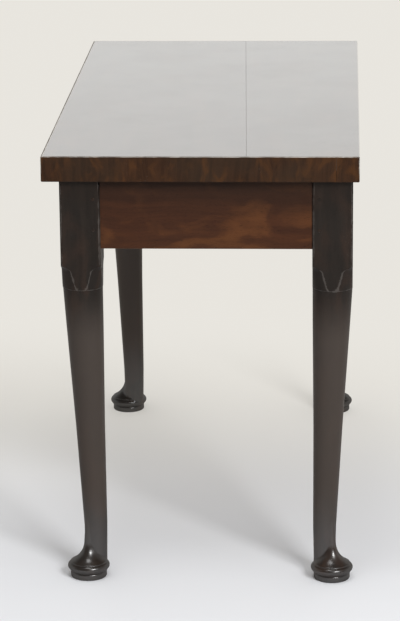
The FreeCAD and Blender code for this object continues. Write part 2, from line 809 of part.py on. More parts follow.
def drawer_front(name, x, middle):
    low, high = x
    rebate = f"({RAIL_FRONT} + dims.bead_depth)"
    whole = block(f"{name}_front_rear", x, (rebate, FRONT_REAR), (DRAWER_FLOOR, DRAWER_HEAD))
    face = block(
        f"{name}_front_face", (f"{low} + dims.bead_width", f"{high} - dims.bead_width"),
        (RAIL_FRONT, rebate), (f"{DRAWER_FLOOR} + dims.bead_width", f"{DRAWER_HEAD} - dims.bead_width"),
    )
    holes = front_tails(f"{name}_left_socket", low)
    holes += front_tails(f"{name}_right_socket", f"{high} - dims.lining_thickness")
    holes.append(drawer_bottom(f"{name}_groove", x))
    for sign in SIDES.values():
        start = (f"{middle} + {sign} * dims.handle_span / 2", RAIL_FRONT, PIN_HEIGHT)
        bore = "dims.shank_radius + dims.shank_clearance"
        holes.append(rod(f"{name}_shank_hole", "y", bore, start, "dims.front_thickness"))
    if name == "centre":
        holes.append(block("lock_recess", *lock_spans()))
        holes += keyhole("front_keyhole", RAIL_FRONT, "dims.front_thickness")
    blank = fuse(f"{name}_front_whole", [whole, face])
    piece(f"{name}_drawer_front", cut(f"{name}_front", blank, holes))


def drawer_side(name, side, x, groove):
    low, high = x
    span = (low, f"{low} + dims.lining_thickness")
    if side == "right":
        span = (f"{high} - dims.lining_thickness", high)
    label = f"{name}_drawer_{side}_side"
    parts = [block(f"{label}_board", span, (FRONT_REAR, DRAWER_BACK_FORE), (DRAWER_FLOOR, LINING_TOP))]
    parts.append(block(f"{label}_heel", span, (DRAWER_BACK_FORE, DRAWER_END), (DRAWER_FLOOR, BOTTOM_TOP)))
    parts += front_tails(label, span[0]) + back_tails(label, span[0])
    piece(label, cut(label, fuse(f"{label}_whole", parts), [drawer_bottom(groove, x)]))


def drawer_back(name, x):
    low, high = x
    height = (BOTTOM_TOP, f"{LINING_TOP} - dims.back_drop")
    board = block(f"{name}_back_board", x, (DRAWER_BACK_FORE, DRAWER_END), height)
    holes = back_tails(f"{name}_left_back", low)
    holes += back_tails(f"{name}_right_back", f"{high} - dims.lining_thickness")
    piece(f"{name}_drawer_back", cut(f"{name}_back", board, holes))


def bead_strip(name, x, z, axis):
    """A strip let into the edge of the front, with a round nose."""
    width = "dims.bead_width / 2"
    strip = block(f"{name}_strip", x, (BEAD_NOSE, f"{RAIL_FRONT} + dims.bead_depth"), z)
    span = x if axis == "x" else z
    start = (f"{x[0]} + {width}", BEAD_NOSE, z[0])
    if axis == "x":
        start = (x[0], BEAD_NOSE, f"{z[0]} + {width}")
    nose = rod(f"{name}_nose", axis, width, start, f"{span[1]} - ({span[0]})")
    return fuse(name, [strip, nose])


def drawer_beads(name, x):
    low, high = x
    wide = "dims.bead_width"
    upright = (f"{DRAWER_FLOOR} + {wide}", f"{DRAWER_HEAD} - {wide}")
    strips = [
        bead_strip(f"{name}_low_bead", x, (DRAWER_FLOOR, f"{DRAWER_FLOOR} + {wide}"), "x"),
        bead_strip(f"{name}_high_bead", x, (f"{DRAWER_HEAD} - {wide}", DRAWER_HEAD), "x"),
        bead_strip(f"{name}_left_bead", (low, f"{low} + {wide}"), upright, "z"),
        bead_strip(f"{name}_right_bead", (f"{high} - {wide}", high), upright, "z"),
    ]
    piece(f"{name}_drawer_cock_beads", group(f"{name}_beads", strips))


def handle_posts(name, middle):
    """Two posts through the front, each with a rosette, a ball and a square nut."""
    parts = []
    for side, sign in SIDES.items():
        label = f"{name}_{side}_post"
        x = f"({middle} + {sign} * dims.handle_span / 2)"
        ball = doc.addObject("Part::Sphere", f"{label}_ball")
        bind(ball, Radius="dims.ball_radius")
        ball_middle = (x, PIN_LINE, PIN_HEIGHT)
        put(ball, ball_middle)
        rosette = rod(
            f"{label}_rosette", "y", "dims.rosette_radius",
            (x, f"{RAIL_FRONT} - dims.rosette_thickness", PIN_HEIGHT), "dims.rosette_thickness",
        )
        neck = rod(f"{label}_neck", "y", "dims.neck_post_radius", ball_middle, "dims.pin_reach")
        shank_length = "dims.front_thickness + dims.nut_thickness + dims.shank_end"
        shank = rod(f"{label}_shank", "y", "dims.shank_radius", (x, RAIL_FRONT, PIN_HEIGHT), shank_length)
        hole_start = f"{x} - dims.ball_radius"
        if side == "left":
            hole_start = f"{x} + dims.ball_radius - dims.pin_depth"
        bore = "dims.pin_radius + dims.pin_clearance"
        hole = rod(f"{label}_pin_hole", "x", bore, (hole_start, PIN_LINE, PIN_HEIGHT), "dims.pin_depth")
        parts.append(cut(label, fuse(f"{label}_whole", [ball, rosette, neck, shank]), [hole]))

        half = "dims.nut_side / 2"
        nut = block(
            f"{label}_nut_blank", about(x, half), (FRONT_REAR, f"{FRONT_REAR} + dims.nut_thickness"),
            about(PIN_HEIGHT, half),
        )
        tapped = "dims.shank_radius + dims.shank_clearance"
        thread = rod(f"{label}_thread", "y", tapped, (x, FRONT_REAR, PIN_HEIGHT), "dims.nut_thickness")
        parts.append(cut(f"{label}_nut", nut, [thread]))
    piece(f"{name}_drawer_handle_posts", group(f"{name}_posts", parts))


def bend(name, centre, radius, start_angle, sweep):
    """Part of a ring of handle bar, upright in the plane of the bail."""
    angle = math.radians(start_angle)
    outward = Vector(math.cos(angle), 0, math.sin(angle))
    onward = Vector(-math.sin(angle), 0, math.cos(angle))
    x, z = centre
    item = doc.addObject("Part::Torus", name)
    item.Placement = Placement(Vector(), Rotation(outward, onward, Vector(0, -1, 0), "XYZ"))
    bind(item, Radius1=radius, Radius2="dims.bail_radius", Angle3=sweep)
    put(item, (x, PIN_LINE, f"{PIN_HEIGHT} + {z}"))
    return item


def handle_bail(name, middle):
    """A swan-neck bail that hangs between the posts on two short pins."""
    flare = dims.bail_flare
    cosine = "cos(dims.bail_flare * 1 deg)"
    sine = "sin(dims.bail_flare * 1 deg)"
    arm = "(dims.handle_span / 2 - dims.ball_radius - dims.bail_gap)"
    neck_x = f"({arm} - dims.bail_shoulder + dims.bail_neck)"
    bend_x = f"({neck_x} - (dims.bail_neck + dims.bail_bend) * {cosine})"
    bend_z = f"(-dims.bail_shoulder - (dims.bail_neck + dims.bail_bend) * {sine})"
    grip_z = f"{PIN_HEIGHT} + {bend_z} - dims.bail_bend"
    pin_length = "(dims.bail_gap + dims.pin_depth - dims.pin_end_gap)"

    parts = []
    for side, sign in SIDES.items():
        label = f"{name}_{side}_bail"
        # Angles run anticlockwise as seen from the front; the left side is the mirror image.
        starts = (90, 180, -90) if sign > 0 else (0, -flare, 180 - flare)
        shoulder_start, neck_start, bend_start = starts
        centre = (f"{middle} + {sign} * {arm}", "(-dims.bail_shoulder)")
        parts.append(bend(f"{label}_shoulder", centre, "dims.bail_shoulder", shoulder_start, "90"))
        centre = (f"{middle} + {sign} * {neck_x}", "(-dims.bail_shoulder)")
        parts.append(bend(f"{label}_neck", centre, "dims.bail_neck", neck_start, "dims.bail_flare"))
        centre = (f"{middle} + {sign} * {bend_x}", bend_z)
        parts.append(bend(f"{label}_bend", centre, "dims.bail_bend", bend_start, "90 + dims.bail_flare"))
        pin_start = f"{middle} + {arm}" if sign > 0 else f"{middle} - {arm} - {pin_length}"
        pin_point = (pin_start, PIN_LINE, PIN_HEIGHT)
        parts.append(rod(f"{label}_pin", "x", "dims.pin_radius", pin_point, pin_length))
    grip_start = (f"{middle} - {bend_x}", PIN_LINE, grip_z)
    parts.append(rod(f"{name}_grip", "x", "dims.bail_radius", grip_start, f"2 * {bend_x}"))
    piece(f"{name}_drawer_bail", fuse(f"{name}_bail", parts))


def make_drawer(name, middle, opening):
    x = drawer_span(middle, opening)
    drawer_front(name, x, middle)
    for side in SIDES:
        drawer_side(name, side, x, f"{name}_{side}_groove")
    drawer_back(name, x)
    piece(f"{name}_drawer_bottom", drawer_bottom(f"{name}_drawer_bottom", x))
    drawer_beads(name, x)
    handle_posts(name, middle)
    handle_bail(name, middle)


DRAWERS = {
    "left": (f"(-{SIDE_MIDDLE})", SIDE_OPENING),
    "centre": ("0", "dims.centre_opening"),
    "right": (SIDE_MIDDLE, SIDE_OPENING),
}


def make_drawer_stops():
    stops = []
    y = (f"{FRONT_REAR} + dims.drawer_lift", f"{FRONT_REAR} + dims.drawer_lift + dims.stop_length")
    z = (RUNNER_TOP, f"{RUNNER_TOP} + dims.stop_height")
    for middle, opening in DRAWERS.values():
        for sign in SIDES.values():
            x = about(f"{middle} + {sign} * ({opening} / 2 - dims.stop_inset)", "dims.stop_width / 2")
            stops.append(block("drawer_stop", x, y, z))
    piece("drawer_stops", group("drawer_stops", stops))


# The lock of the centre drawer


def lock_spans():
    x = about("0", "dims.lock_width / 2")
    return [x, (LOCK_FORE, FRONT_REAR), (f"{DRAWER_HEAD} - dims.lock_height", DRAWER_HEAD)]


def bolt_spans():
    x = about("0", "dims.bolt_width / 2")
    y = about(f"{LOCK_FORE} + dims.lock_depth / 2", "dims.bolt_thickness / 2")
    return x, y


def keyhole(name, y, length):
    """A round hole with a slot under it."""
    barrel = rod(f"{name}_barrel", "y", "dims.keyhole_radius", ("0", y, KEYHOLE), length)
    slot = block(
        f"{name}_slot", about("0", "dims.keyhole_slot / 2"), (y, f"{y} + {length}"),
        (f"{KEYHOLE} - dims.keyhole_tail", KEYHOLE),
    )
    return [barrel, slot]


def make_lock():
    x, y = bolt_spans()
    bolt_foot = f"{DRAWER_HEAD} - dims.bolt_length"
    channel = grown([x, y, (bolt_foot, DRAWER_HEAD)], "dims.bolt_clearance")
    holes = [block("bolt_channel", *channel)] + keyhole("case_keyhole", LOCK_FORE, "dims.lock_depth / 2")
    piece("lock_case", cut("lock_case", block("lock_blank", *lock_spans()), holes))

    # The bolt is forked below, so that it straddles the key as it rises.
    body = block("bolt_body", x, y, (bolt_foot, DRAWER_HEAD))
    fork_half = "dims.keyhole_radius + dims.bolt_clearance"
    fork = block("bolt_fork", about("0", fork_half), y, (bolt_foot, f"{KEYHOLE} + {fork_half}"))
    piece("lock_bolt", cut("lock_bolt", body, [fork]))

    plate_front = f"({RAIL_FRONT} - dims.escutcheon_thickness)"
    thick = "dims.escutcheon_thickness"
    plate = rod("plate", "y", "dims.escutcheon_radius", ("0", plate_front, KEYHOLE), thick)
    piece("escutcheon", cut("escutcheon", plate, keyhole("plate_keyhole", plate_front, thick)))


make_top()
make_facings()
make_top_screws()
for end in ("front", "back"):
    for side in SIDES:
        make_leg(end, side)
make_aprons()
make_rails()
make_dividers()
make_pegs()
make_bars()
make_glue_blocks()
for name, (middle, opening) in DRAWERS.items():
    make_drawer(name, middle, opening)
make_drawer_stops()
make_lock()
doc.recompute()

for item in doc.Objects:
    if "Invalid" in item.State or "Error" in item.State:
        raise RuntimeError(f"{item.Label} failed: {item.State}")
for item in pieces:
    if item.Shape.isNull() or not item.Shape.isValid():
        raise RuntimeError(f"{item.Label} has no valid shape")

os.makedirs("parts", exist_ok=True)
for item in pieces:
    item.Shape.exportStep(f"parts/{item.Label}.step")
    print(f"{item.Label}: {len(item.Shape.Solids)} solids, {item.Shape.Volume / 1000:.2f} cm3")
print(len(pieces), "pieces")
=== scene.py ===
# %% [markdown]
# A lowboy is a small side table with a row of shallow drawers. Its joinery comes ready from the CAD
# model, which is loaded here as a fixed frame, and this lesson gives it its looks: polished
# mahogany, bare oak, old brass and iron. The alternative is to model every board again in Blender,
# but then the drawers would no longer be sure to fit their openings. So a board whose shape is
# right stays, and only what a lathe, a carver or a founder would have made gets a new mesh.

# %% Load the frame
import math

import bmesh
import bpy
from mathutils import Matrix, Vector


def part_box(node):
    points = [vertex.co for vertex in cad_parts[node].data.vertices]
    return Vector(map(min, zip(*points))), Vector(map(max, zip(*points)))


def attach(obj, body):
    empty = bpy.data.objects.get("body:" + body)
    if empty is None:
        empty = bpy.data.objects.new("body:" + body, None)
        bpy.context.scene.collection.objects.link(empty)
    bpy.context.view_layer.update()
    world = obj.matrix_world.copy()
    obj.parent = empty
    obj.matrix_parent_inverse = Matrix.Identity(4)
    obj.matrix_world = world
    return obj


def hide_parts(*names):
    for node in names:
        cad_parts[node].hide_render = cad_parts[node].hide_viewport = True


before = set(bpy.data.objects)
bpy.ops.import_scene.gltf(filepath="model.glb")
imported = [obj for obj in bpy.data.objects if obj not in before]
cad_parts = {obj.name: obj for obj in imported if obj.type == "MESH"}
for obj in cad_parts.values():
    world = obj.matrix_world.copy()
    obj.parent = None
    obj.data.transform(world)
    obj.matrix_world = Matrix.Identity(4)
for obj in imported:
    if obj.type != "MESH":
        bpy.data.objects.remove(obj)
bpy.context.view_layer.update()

# %% [markdown]
# The camera looks along the table at its right-hand end from a little above. Its place was worked
# out from the corners of the top, the knees and the feet, so it is written down as a point, two
# angles and a small tilt. A camera could also be aimed with a Track To constraint, but a matrix
# made of three axes says plainly which way is right, up and back.

# %% The camera
IMAGE_HEIGHT = 621
FOCAL_PIXELS = 2899.5
SENSOR = 36.0
STAND = (4.9172, 0.2257, 1.708)
TURN = 0.0514
DIP = 0.2738
TILT = -0.0099

camera_data = bpy.data.cameras.new("view_of_the_end")
camera_data.sensor_width = SENSOR
camera_data.lens = FOCAL_PIXELS * SENSOR / IMAGE_HEIGHT
camera = bpy.data.objects.new("view_of_the_end", camera_data)
bpy.context.scene.collection.objects.link(camera)

ahead = Vector((-math.cos(TURN) * math.cos(DIP), -math.sin(TURN) * math.cos(DIP), -math.sin(DIP)))
level_right = Vector((-math.sin(TURN), math.cos(TURN), 0.0))
level_up = level_right.cross(ahead)
right = math.cos(TILT) * level_right + math.sin(TILT) * level_up
upward = math.cos(TILT) * level_up - math.sin(TILT) * level_right
axes = Matrix((right, upward, -ahead)).transposed().to_4x4()
camera.matrix_world = Matrix.Translation(STAND) @ axes
bpy.context.scene.camera = camera
bpy.context.scene.view_settings.view_transform = "Standard"
print("camera lens", round(camera_data.lens, 1), "mm")

# %% [markdown]
# Shader nodes are easier to read when each is one line. `place` makes a node and fills its sockets,
# each with a plain value or with another node's output. `calc`, `mix_colours` and `remap` wrap the
# three nodes that come most often: Math, the colour Mix and Map Range. `new_group` starts an empty
# node group, and `use` puts one to work.

# %% Helpers for shader nodes


def fill(tree, socket, value):
    """Link a socket to an output, or give it a plain value."""
    if isinstance(value, bpy.types.NodeSocket):
        tree.links.new(value, socket)
    else:
        socket.default_value = value


def place(tree, kind, inputs=None, **settings):
    """A new shader node with its settings and its input sockets filled."""
    node = tree.nodes.new("ShaderNode" + kind)
    for name, value in settings.items():
        setattr(node, name, value)
    for name, value in (inputs or {}).items():
        fill(tree, node.inputs[name], value)
    return node


def calc(tree, operation, *values):
    """The output of a Math node."""
    return place(tree, "Math", dict(enumerate(values)), operation=operation).outputs[0]


def mix_colours(tree, factor, first, second):
    """The output of a colour Mix node, whose two colours are its sockets 6 and 7."""
    return place(tree, "Mix", {0: factor, 6: first, 7: second}, data_type="RGBA").outputs[2]


def remap(tree, value, low, high, to_low=0.0, to_high=1.0):
    """A value stretched from one range to another along a soft curve, and held at both ends."""
    inputs = {"Value": value, "From Min": low, "From Max": high, "To Min": to_low, "To Max": to_high}
    return place(tree, "MapRange", inputs, interpolation_type="SMOOTHSTEP").outputs[0]


def new_group(name, inputs, outputs):
    """An empty shader node group with named sockets, and its two end nodes."""
    group = bpy.data.node_groups.new(name, "ShaderNodeTree")
    for label, kind in inputs.items():
        group.interface.new_socket(label, in_out="INPUT", socket_type="NodeSocket" + kind)
    for label in outputs:
        group.interface.new_socket(label, in_out="OUTPUT", socket_type="NodeSocketFloat")
    return group, group.nodes.new("NodeGroupInput").outputs, group.nodes.new("NodeGroupOutput").inputs


def use(tree, group, **inputs):
    """The outputs of a node group placed in a material."""
    return place(tree, "Group", inputs, node_tree=group).outputs


print("node helpers ready")

# %% [markdown]
# Every wood here has the same build: long streaks along the grain, patches of figure where the
# fibres turn to the light, a slow drift of the colour over the whole board, and fine pores. All
# four are noise, stretched along the grain. The boards differ only in how much of each they show,
# so the pattern is one node group, and each material places it with its own coordinates.

# %% The timber group
timber, entry, leave = new_group("timber", {"Along": "Vector"}, ("Streak", "Flame", "Drift", "Pores"))
sway = place(timber, "TexNoise", {"Vector": entry["Along"], "Scale": 4.0, "Detail": 2.0}).outputs["Color"]
sway_size = place(timber, "VectorMath", {0: sway, 1: (0.0, 0.05, 0.05)}, operation="MULTIPLY").outputs[0]
swayed = place(timber, "VectorMath", {0: entry["Along"], 1: sway_size}).outputs[0]

drawn_out = place(timber, "Mapping", {"Vector": swayed, "Scale": (3.0, 70.0, 70.0)}).outputs[0]
streak = place(timber, "TexNoise", {"Vector": drawn_out, "Scale": 1.0, "Detail": 6.0, "Roughness": 0.62})
timber.links.new(remap(timber, streak.outputs[0], 0.3, 0.72), leave["Streak"])

leaning = {"Vector": swayed, "Rotation": (0.5, 0.3, 0.6), "Scale": (13.0, 26.0, 26.0)}
leant = place(timber, "Mapping", leaning).outputs[0]
flame = place(timber, "TexNoise", {"Vector": leant, "Scale": 1.0, "Detail": 3.0, "Distortion": 0.7})
timber.links.new(remap(timber, flame.outputs[0], 0.46, 0.7), leave["Flame"])

drift = place(timber, "TexNoise", {"Vector": entry["Along"], "Scale": 5.0, "Detail": 1.0})
timber.links.new(remap(timber, drift.outputs[0], 0.36, 0.64), leave["Drift"])

dashes = place(timber, "Mapping", {"Vector": entry["Along"], "Scale": (150.0, 1700.0, 1700.0)}).outputs[0]
pores = place(timber, "TexNoise", {"Vector": dashes, "Scale": 1.0, "Detail": 1.0})
timber.links.new(remap(timber, pores.outputs[0], 0.6, 0.72), leave["Pores"])
print("group", timber.name, "has", len(timber.nodes), "nodes")

# %% [markdown]
# Two centuries of dusting and of chairs pushed in leave marks. A cloudy smudge changes the polish,
# a few fine scratches run across it, and the sharp edges lose their colour in places. Where an edge
# is has to be told: on a plain board it is where two of its faces come near, which a group can
# measure from the board's own box. The Bevel node would find edges by itself, but only while
# rendering with rays, so it can't be baked into a plain model.

# %% The groups of wear
EASE_WIDTH = 0.0016
LEAST_RUB = 0.0001
marks, entry, leave = new_group("hand_marks", {"Place": "Vector"}, ("Smudge", "Scratches", "Speckle"))
cloud = place(marks, "TexNoise", {"Vector": entry["Place"], "Scale": 9.0, "Detail": 5.0, "Roughness": 0.6})
marks.links.new(remap(marks, cloud.outputs[0], 0.3, 0.7), leave["Smudge"])
slanting = {"Vector": entry["Place"], "Rotation": (0.35, 0.5, 0.9), "Scale": (14.0, 800.0, 500.0)}
slant = place(marks, "Mapping", slanting).outputs[0]
scrape = place(marks, "TexNoise", {"Vector": slant, "Scale": 1.0, "Detail": 2.0})
sparse = remap(marks, cloud.outputs[0], 0.52, 0.6)
thin = remap(marks, scrape.outputs[0], 0.7, 0.76)
marks.links.new(calc(marks, "MULTIPLY", thin, sparse), leave["Scratches"])
grit = place(marks, "TexNoise", {"Vector": entry["Place"], "Scale": 420.0, "Detail": 2.0})
marks.links.new(remap(marks, grit.outputs[0], 0.35, 0.65), leave["Speckle"])

corners = {"Place": "Vector", "Low": "Vector", "High": "Vector"}
board_edge, entry, leave = new_group("board_edge", corners, ("Gap",))
from_low = place(board_edge, "VectorMath", {0: entry["Place"], 1: entry["Low"]}, operation="SUBTRACT")
from_high = place(board_edge, "VectorMath", {0: entry["High"], 1: entry["Place"]}, operation="SUBTRACT")
both = {0: from_low.outputs[0], 1: from_high.outputs[0]}
nearest = place(board_edge, "VectorMath", both, operation="MINIMUM").outputs[0]
x, y, z = place(board_edge, "SeparateXYZ", {0: nearest}).outputs
smaller = calc(board_edge, "MINIMUM", x, y)
larger = calc(board_edge, "MAXIMUM", x, y)
second = calc(board_edge, "MAXIMUM", smaller, calc(board_edge, "MINIMUM", larger, z))
board_edge.links.new(second, leave["Gap"])

rub_inputs = {"Place": "Vector", "Gap": "Float", "Width": "Float", "Ragged": "Float"}
rubbed, entry, leave = new_group("rubbed_edge", rub_inputs, ("Rub", "Ease"))
nibbling = {"Vector": entry["Place"], "Scale": 45.0, "Detail": 5.0, "Roughness": 0.7}
nibble = place(rubbed, "TexNoise", nibbling)
lost = calc(rubbed, "MULTIPLY", entry["Ragged"], remap(rubbed, nibble.outputs[0], 0.66, 0.38))
kept = calc(rubbed, "SUBTRACT", 1.0, lost)
reach_in = calc(rubbed, "MULTIPLY_ADD", entry["Width"], kept, LEAST_RUB)
share = calc(rubbed, "DIVIDE", entry["Gap"], reach_in)
rubbed.links.new(remap(rubbed, share, 1.1, 0.4), leave["Rub"])
sink = calc(rubbed, "SUBTRACT", 1.0, calc(rubbed, "DIVIDE", entry["Gap"], EASE_WIDTH))
rounded = calc(rubbed, "POWER", calc(rubbed, "MAXIMUM", sink, 0.0), 2.0)
rubbed.links.new(calc(rubbed, "MULTIPLY", rounded, -1.0), leave["Ease"])
print("groups of wear:", marks.name, board_edge.name, rubbed.name)

# %% [markdown]
# A polished board is a Principled shader: the colour of the wood below, and on top a thin coat of
# shellac and wax that gives the gloss. The colours go from the dark of the late wood over the
# common brown to the light figure. Height matters too: just under the overhang of the top the
# colour is darkened, a painted shade where the top would shadow the boards; the shafts below the
# knees are painted lighter and greyer, partly faded wood and partly a painted sheen; and the feet
# are dark and thick with wax. The edges are rubbed bare in places, and on the faced strips of the
# top the pale upper arris is a painted highlight. A Layer Weight node thins the coat of a round leg
# where it turns away from the eye, so that the pale backdrop doesn't draw a bright rim there. Each
# board gets its own material, because its grain starts somewhere else and its edges lie elsewhere,
# but one function makes them all from a short recipe.

# %% The polished wood
# Painted shade: between these two heights, just under the overhang of the top, the colour is darkened
# towards this dark brown, where the top would shadow the boards.
OVERHANG_SHADE_LEVELS = (0.605, 0.675)
PAINTED_SHADE = (0.016, 0.009, 0.006, 1)
# Painted sheen, partly fading: between the first two heights the shafts below the knee are painted lighter
# and greyer, and the next two heights leave the feet out.
SHEEN_AND_FADE_LEVELS = (0.5, 0.4)
DARK_FOOT = (0.05, 0.17)
SHEEN_AND_FADE = (0.068, 0.0545, 0.0465, 1)
WAXED_LEVELS = (0.17, 0.04)
GRAIN_DEPTH = 0.0004
EASE_DEPTH = 0.0006
GRAIN_TURN = {"x": (0.0, 0.0, 0.0), "y": (0.0, 0.0, -math.pi / 2), "z": (0.0, math.pi / 2, 0.0)}


def start_material(name):
    """A material with a bare Principled shader, and its tree."""
    material = bpy.data.materials.new(name)
    material.use_nodes = True
    tree = material.node_tree
    tree.nodes.clear()
    shader = place(tree, "BsdfPrincipled")
    place(tree, "OutputMaterial", {"Surface": shader.outputs[0]})
    return material, tree, shader


def lay_grain(tree, along, seed, size=1.0):
    """A piece's own coordinates, and the timber group with its grain along one axis."""
    spot = place(tree, "TexCoord").outputs["Object"]
    turn = {"Vector": spot, "Rotation": GRAIN_TURN[along], "Location": (seed, seed / 3, 0.0)}
    turn["Scale"] = (size, size, size)
    return spot, use(tree, timber, Along=place(tree, "Mapping", turn).outputs[0])


def wood_colour(tree, recipe, wood, wear, rub, height):
    """The colour of the wood, from the streaks to the marks of wear, with painted shade under the top,
    painted sheen on the shafts and a painted highlight on the faced arris.
    """
    overhang_shade_mask = remap(tree, height, *OVERHANG_SHADE_LEVELS)
    below_knee = remap(tree, height, *SHEEN_AND_FADE_LEVELS)
    above_foot = remap(tree, height, *DARK_FOOT)
    sheen_and_fade_mask = calc(tree, "MULTIPLY", below_knee, above_foot)
    colour = mix_colours(tree, wood["Streak"], recipe["dark"], recipe["brown"])
    for mask, share, layer in (
        (wood["Drift"], recipe["drift"], recipe["cool"]),
        (wood["Flame"], recipe["flame"], recipe["light"]),
        (wood["Pores"], recipe["open_pores"], recipe["pore"]),
        (sheen_and_fade_mask, recipe["sheen_and_fade"], SHEEN_AND_FADE),
        (overhang_shade_mask, recipe["overhang_shade"], PAINTED_SHADE),
        (rub, recipe["rub"], recipe["bare"]),
        (wear["Scratches"], recipe["scratch"], recipe["bare"]),
    ):
        colour = mix_colours(tree, calc(tree, "MULTIPLY", mask, share), colour, layer)
    return colour


def wood_coat(tree, recipe, rub, height):
    """The weight of the wax coat: one number where it is even, else a mask."""
    if recipe["edge_coat"] == 0.0:
        return recipe["coat"]
    waxed = remap(tree, height, *WAXED_LEVELS, recipe["coat"], recipe["foot_coat"])
    coat = calc(tree, "MULTIPLY_ADD", rub, recipe["edge_coat"], waxed)
    slope = place(tree, "LayerWeight", {"Blend": 0.5}).outputs["Facing"]
    facing = calc(tree, "SUBTRACT", 1.0, slope)
    return calc(tree, "MULTIPLY", coat, calc(tree, "POWER", facing, recipe["rim_power"]))


def wood_relief(tree, recipe, wood, ease):
    """Pores and streaks one can feel, and edges rounded by use."""
    raised = calc(tree, "MULTIPLY", wood["Streak"], 0.5)
    grain = calc(tree, "MULTIPLY_ADD", wood["Pores"], -0.5, raised)
    felt = {"Strength": recipe["bump"], "Distance": GRAIN_DEPTH, "Height": grain}
    fine = place(tree, "Bump", felt).outputs[0]
    eased = {"Strength": recipe["ease"], "Distance": EASE_DEPTH, "Height": ease, "Normal": fine}
    return place(tree, "Bump", eased).outputs[0]


def polish(name, recipe, along, seed, edge_group, **edge_sockets):
    """A polished wood. The edge group says how far each point is from an edge, where the polish is rubbed
    pale; on the faced strips that pale upper edge is a painted highlight.
    """
    material, tree, shader = start_material(name)
    spot, wood = lay_grain(tree, along, seed, recipe["size"])
    height = place(tree, "SeparateXYZ", {0: spot}).outputs[2]
    wear = use(tree, marks, Place=spot)
    gap = use(tree, edge_group, Place=spot, **edge_sockets)["Gap"]
    edge = use(tree, rubbed, Place=spot, Gap=gap, Width=recipe["rub_width"], Ragged=recipe["ragged"])
    # This edge mask is wear on most boards; on the faced strips it paints a highlight along the upper
    # arris.
    edge_wear_and_highlight = calc(tree, "MULTIPLY", edge["Rub"], remap(tree, height, *recipe["wear_and_highlight_above"]))
    sheen = calc(tree, "MULTIPLY_ADD", wear["Smudge"], recipe["smudge"], recipe["rough"])
    for socket, value in (
        ("Base Color", wood_colour(tree, recipe, wood, wear, edge_wear_and_highlight, height)),
        ("Roughness", sheen),
        ("Specular IOR Level", recipe["gloss"]),
        ("Coat Weight", wood_coat(tree, recipe, edge_wear_and_highlight, height)),
        ("Coat Roughness", recipe["coat_rough"]),
        ("Coat IOR", recipe["coat_ior"]),
        ("Normal", wood_relief(tree, recipe, wood, edge["Ease"])),
    ):
        fill(tree, shader.inputs[socket], value)
    return material


PLAIN = dict(
    size=1.0, pore=(0.012, 0.006, 0.004, 1), open_pores=0.5, bump=0.1, ease=0.0,
    ragged=0.8, rub=0.25, rub_width=0.0012, wear_and_highlight_above=(-0.2, -0.1), scratch=0.2,
    sheen_and_fade=0.0, overhang_shade=0.6, rough=0.4, smudge=0.12, gloss=0.1,
    coat=0.03, foot_coat=0.03, edge_coat=0.0, coat_rough=0.25, coat_ior=1.5, rim_power=1.0,
)
TOP = dict(
    PLAIN, dark=(0.033, 0.0165, 0.011, 1), brown=(0.06, 0.031, 0.02, 1),
    light=(0.09, 0.047, 0.029, 1), cool=(0.047, 0.031, 0.024, 1), bare=(0.2, 0.14, 0.1, 1),
    flame=0.45, drift=0.5, scratch=0.25, overhang_shade=0.0,
    bump=0.03, rough=0.15, smudge=0.06, gloss=0.5, coat=0.9, coat_rough=0.1,
)
# The figured aprons and drawer fronts take the most painted shade under the top.
FIGURED = dict(
    PLAIN, dark=(0.036, 0.013, 0.0062, 1), brown=(0.062, 0.0215, 0.0088, 1),
    light=(0.118, 0.043, 0.0135, 1), cool=(0.044, 0.0175, 0.009, 1), bare=(0.14, 0.1, 0.07, 1),
    flame=0.6, drift=0.5, overhang_shade=0.75,
)
# On the faced strips the near-white edge colour, the strong rub and the height limit paint a pale line
# along the upper arris only: a painted highlight, not wear.
FACED = dict(
    PLAIN, size=2.0, dark=(0.022, 0.0095, 0.004, 1), brown=(0.044, 0.018, 0.0072, 1),
    light=(0.08, 0.031, 0.0085, 1), cool=(0.028, 0.0175, 0.0105, 1), bare=(0.6, 0.57, 0.52, 1),
    flame=0.5, drift=0.55, overhang_shade=0.0, rub=0.9, ragged=0.35, wear_and_highlight_above=(0.68, 0.7),
    edge_coat=0.8, coat_rough=0.12,
)
# The frame is painted lighter below the knees, a painted sheen along with fading, and a little darker
# under the top, a painted shade.
FRAME_WOOD = dict(
    PLAIN, dark=(0.013, 0.01, 0.008, 1), brown=(0.025, 0.0175, 0.0135, 1),
    light=(0.045, 0.024, 0.016, 1), cool=(0.016, 0.014, 0.0125, 1), bare=(0.16, 0.14, 0.125, 1),
    flame=0.35, drift=0.4, sheen_and_fade=0.7, overhang_shade=0.3,
    rub=0.22, rub_width=0.0011, ragged=1.0, scratch=0.35, ease=1.0, gloss=0.06,
    coat=0.06, foot_coat=1.0, edge_coat=0.2, coat_rough=0.28, coat_ior=1.8, rim_power=1.2,
)
print("recipes for polished wood: top, figured, faced, frame")

# %% [markdown]
# What the buyer never sees is cheaper oak, left bare: drawer linings, runners and the board at the
# back. Bare wood scatters light, so it has no coat and little shine, and it has gone brown and
# dusty. The metal is old brass, which keeps its yellow only where hands rub it, and iron with a
# dull skin. Both are full metals whose colour and roughness wander together.

# %% Oak, brass and iron
OAK = dict(
    dark=(0.115, 0.062, 0.028, 1), brown=(0.235, 0.14, 0.068, 1), light=(0.3, 0.19, 0.1, 1),
    pore=(0.06, 0.032, 0.016, 1), dust=(0.09, 0.06, 0.036, 1), bare=(0.36, 0.26, 0.16, 1),
)
OAK_RUB_WIDTH = 0.003
TARNISH_DEPTH = 0.0003


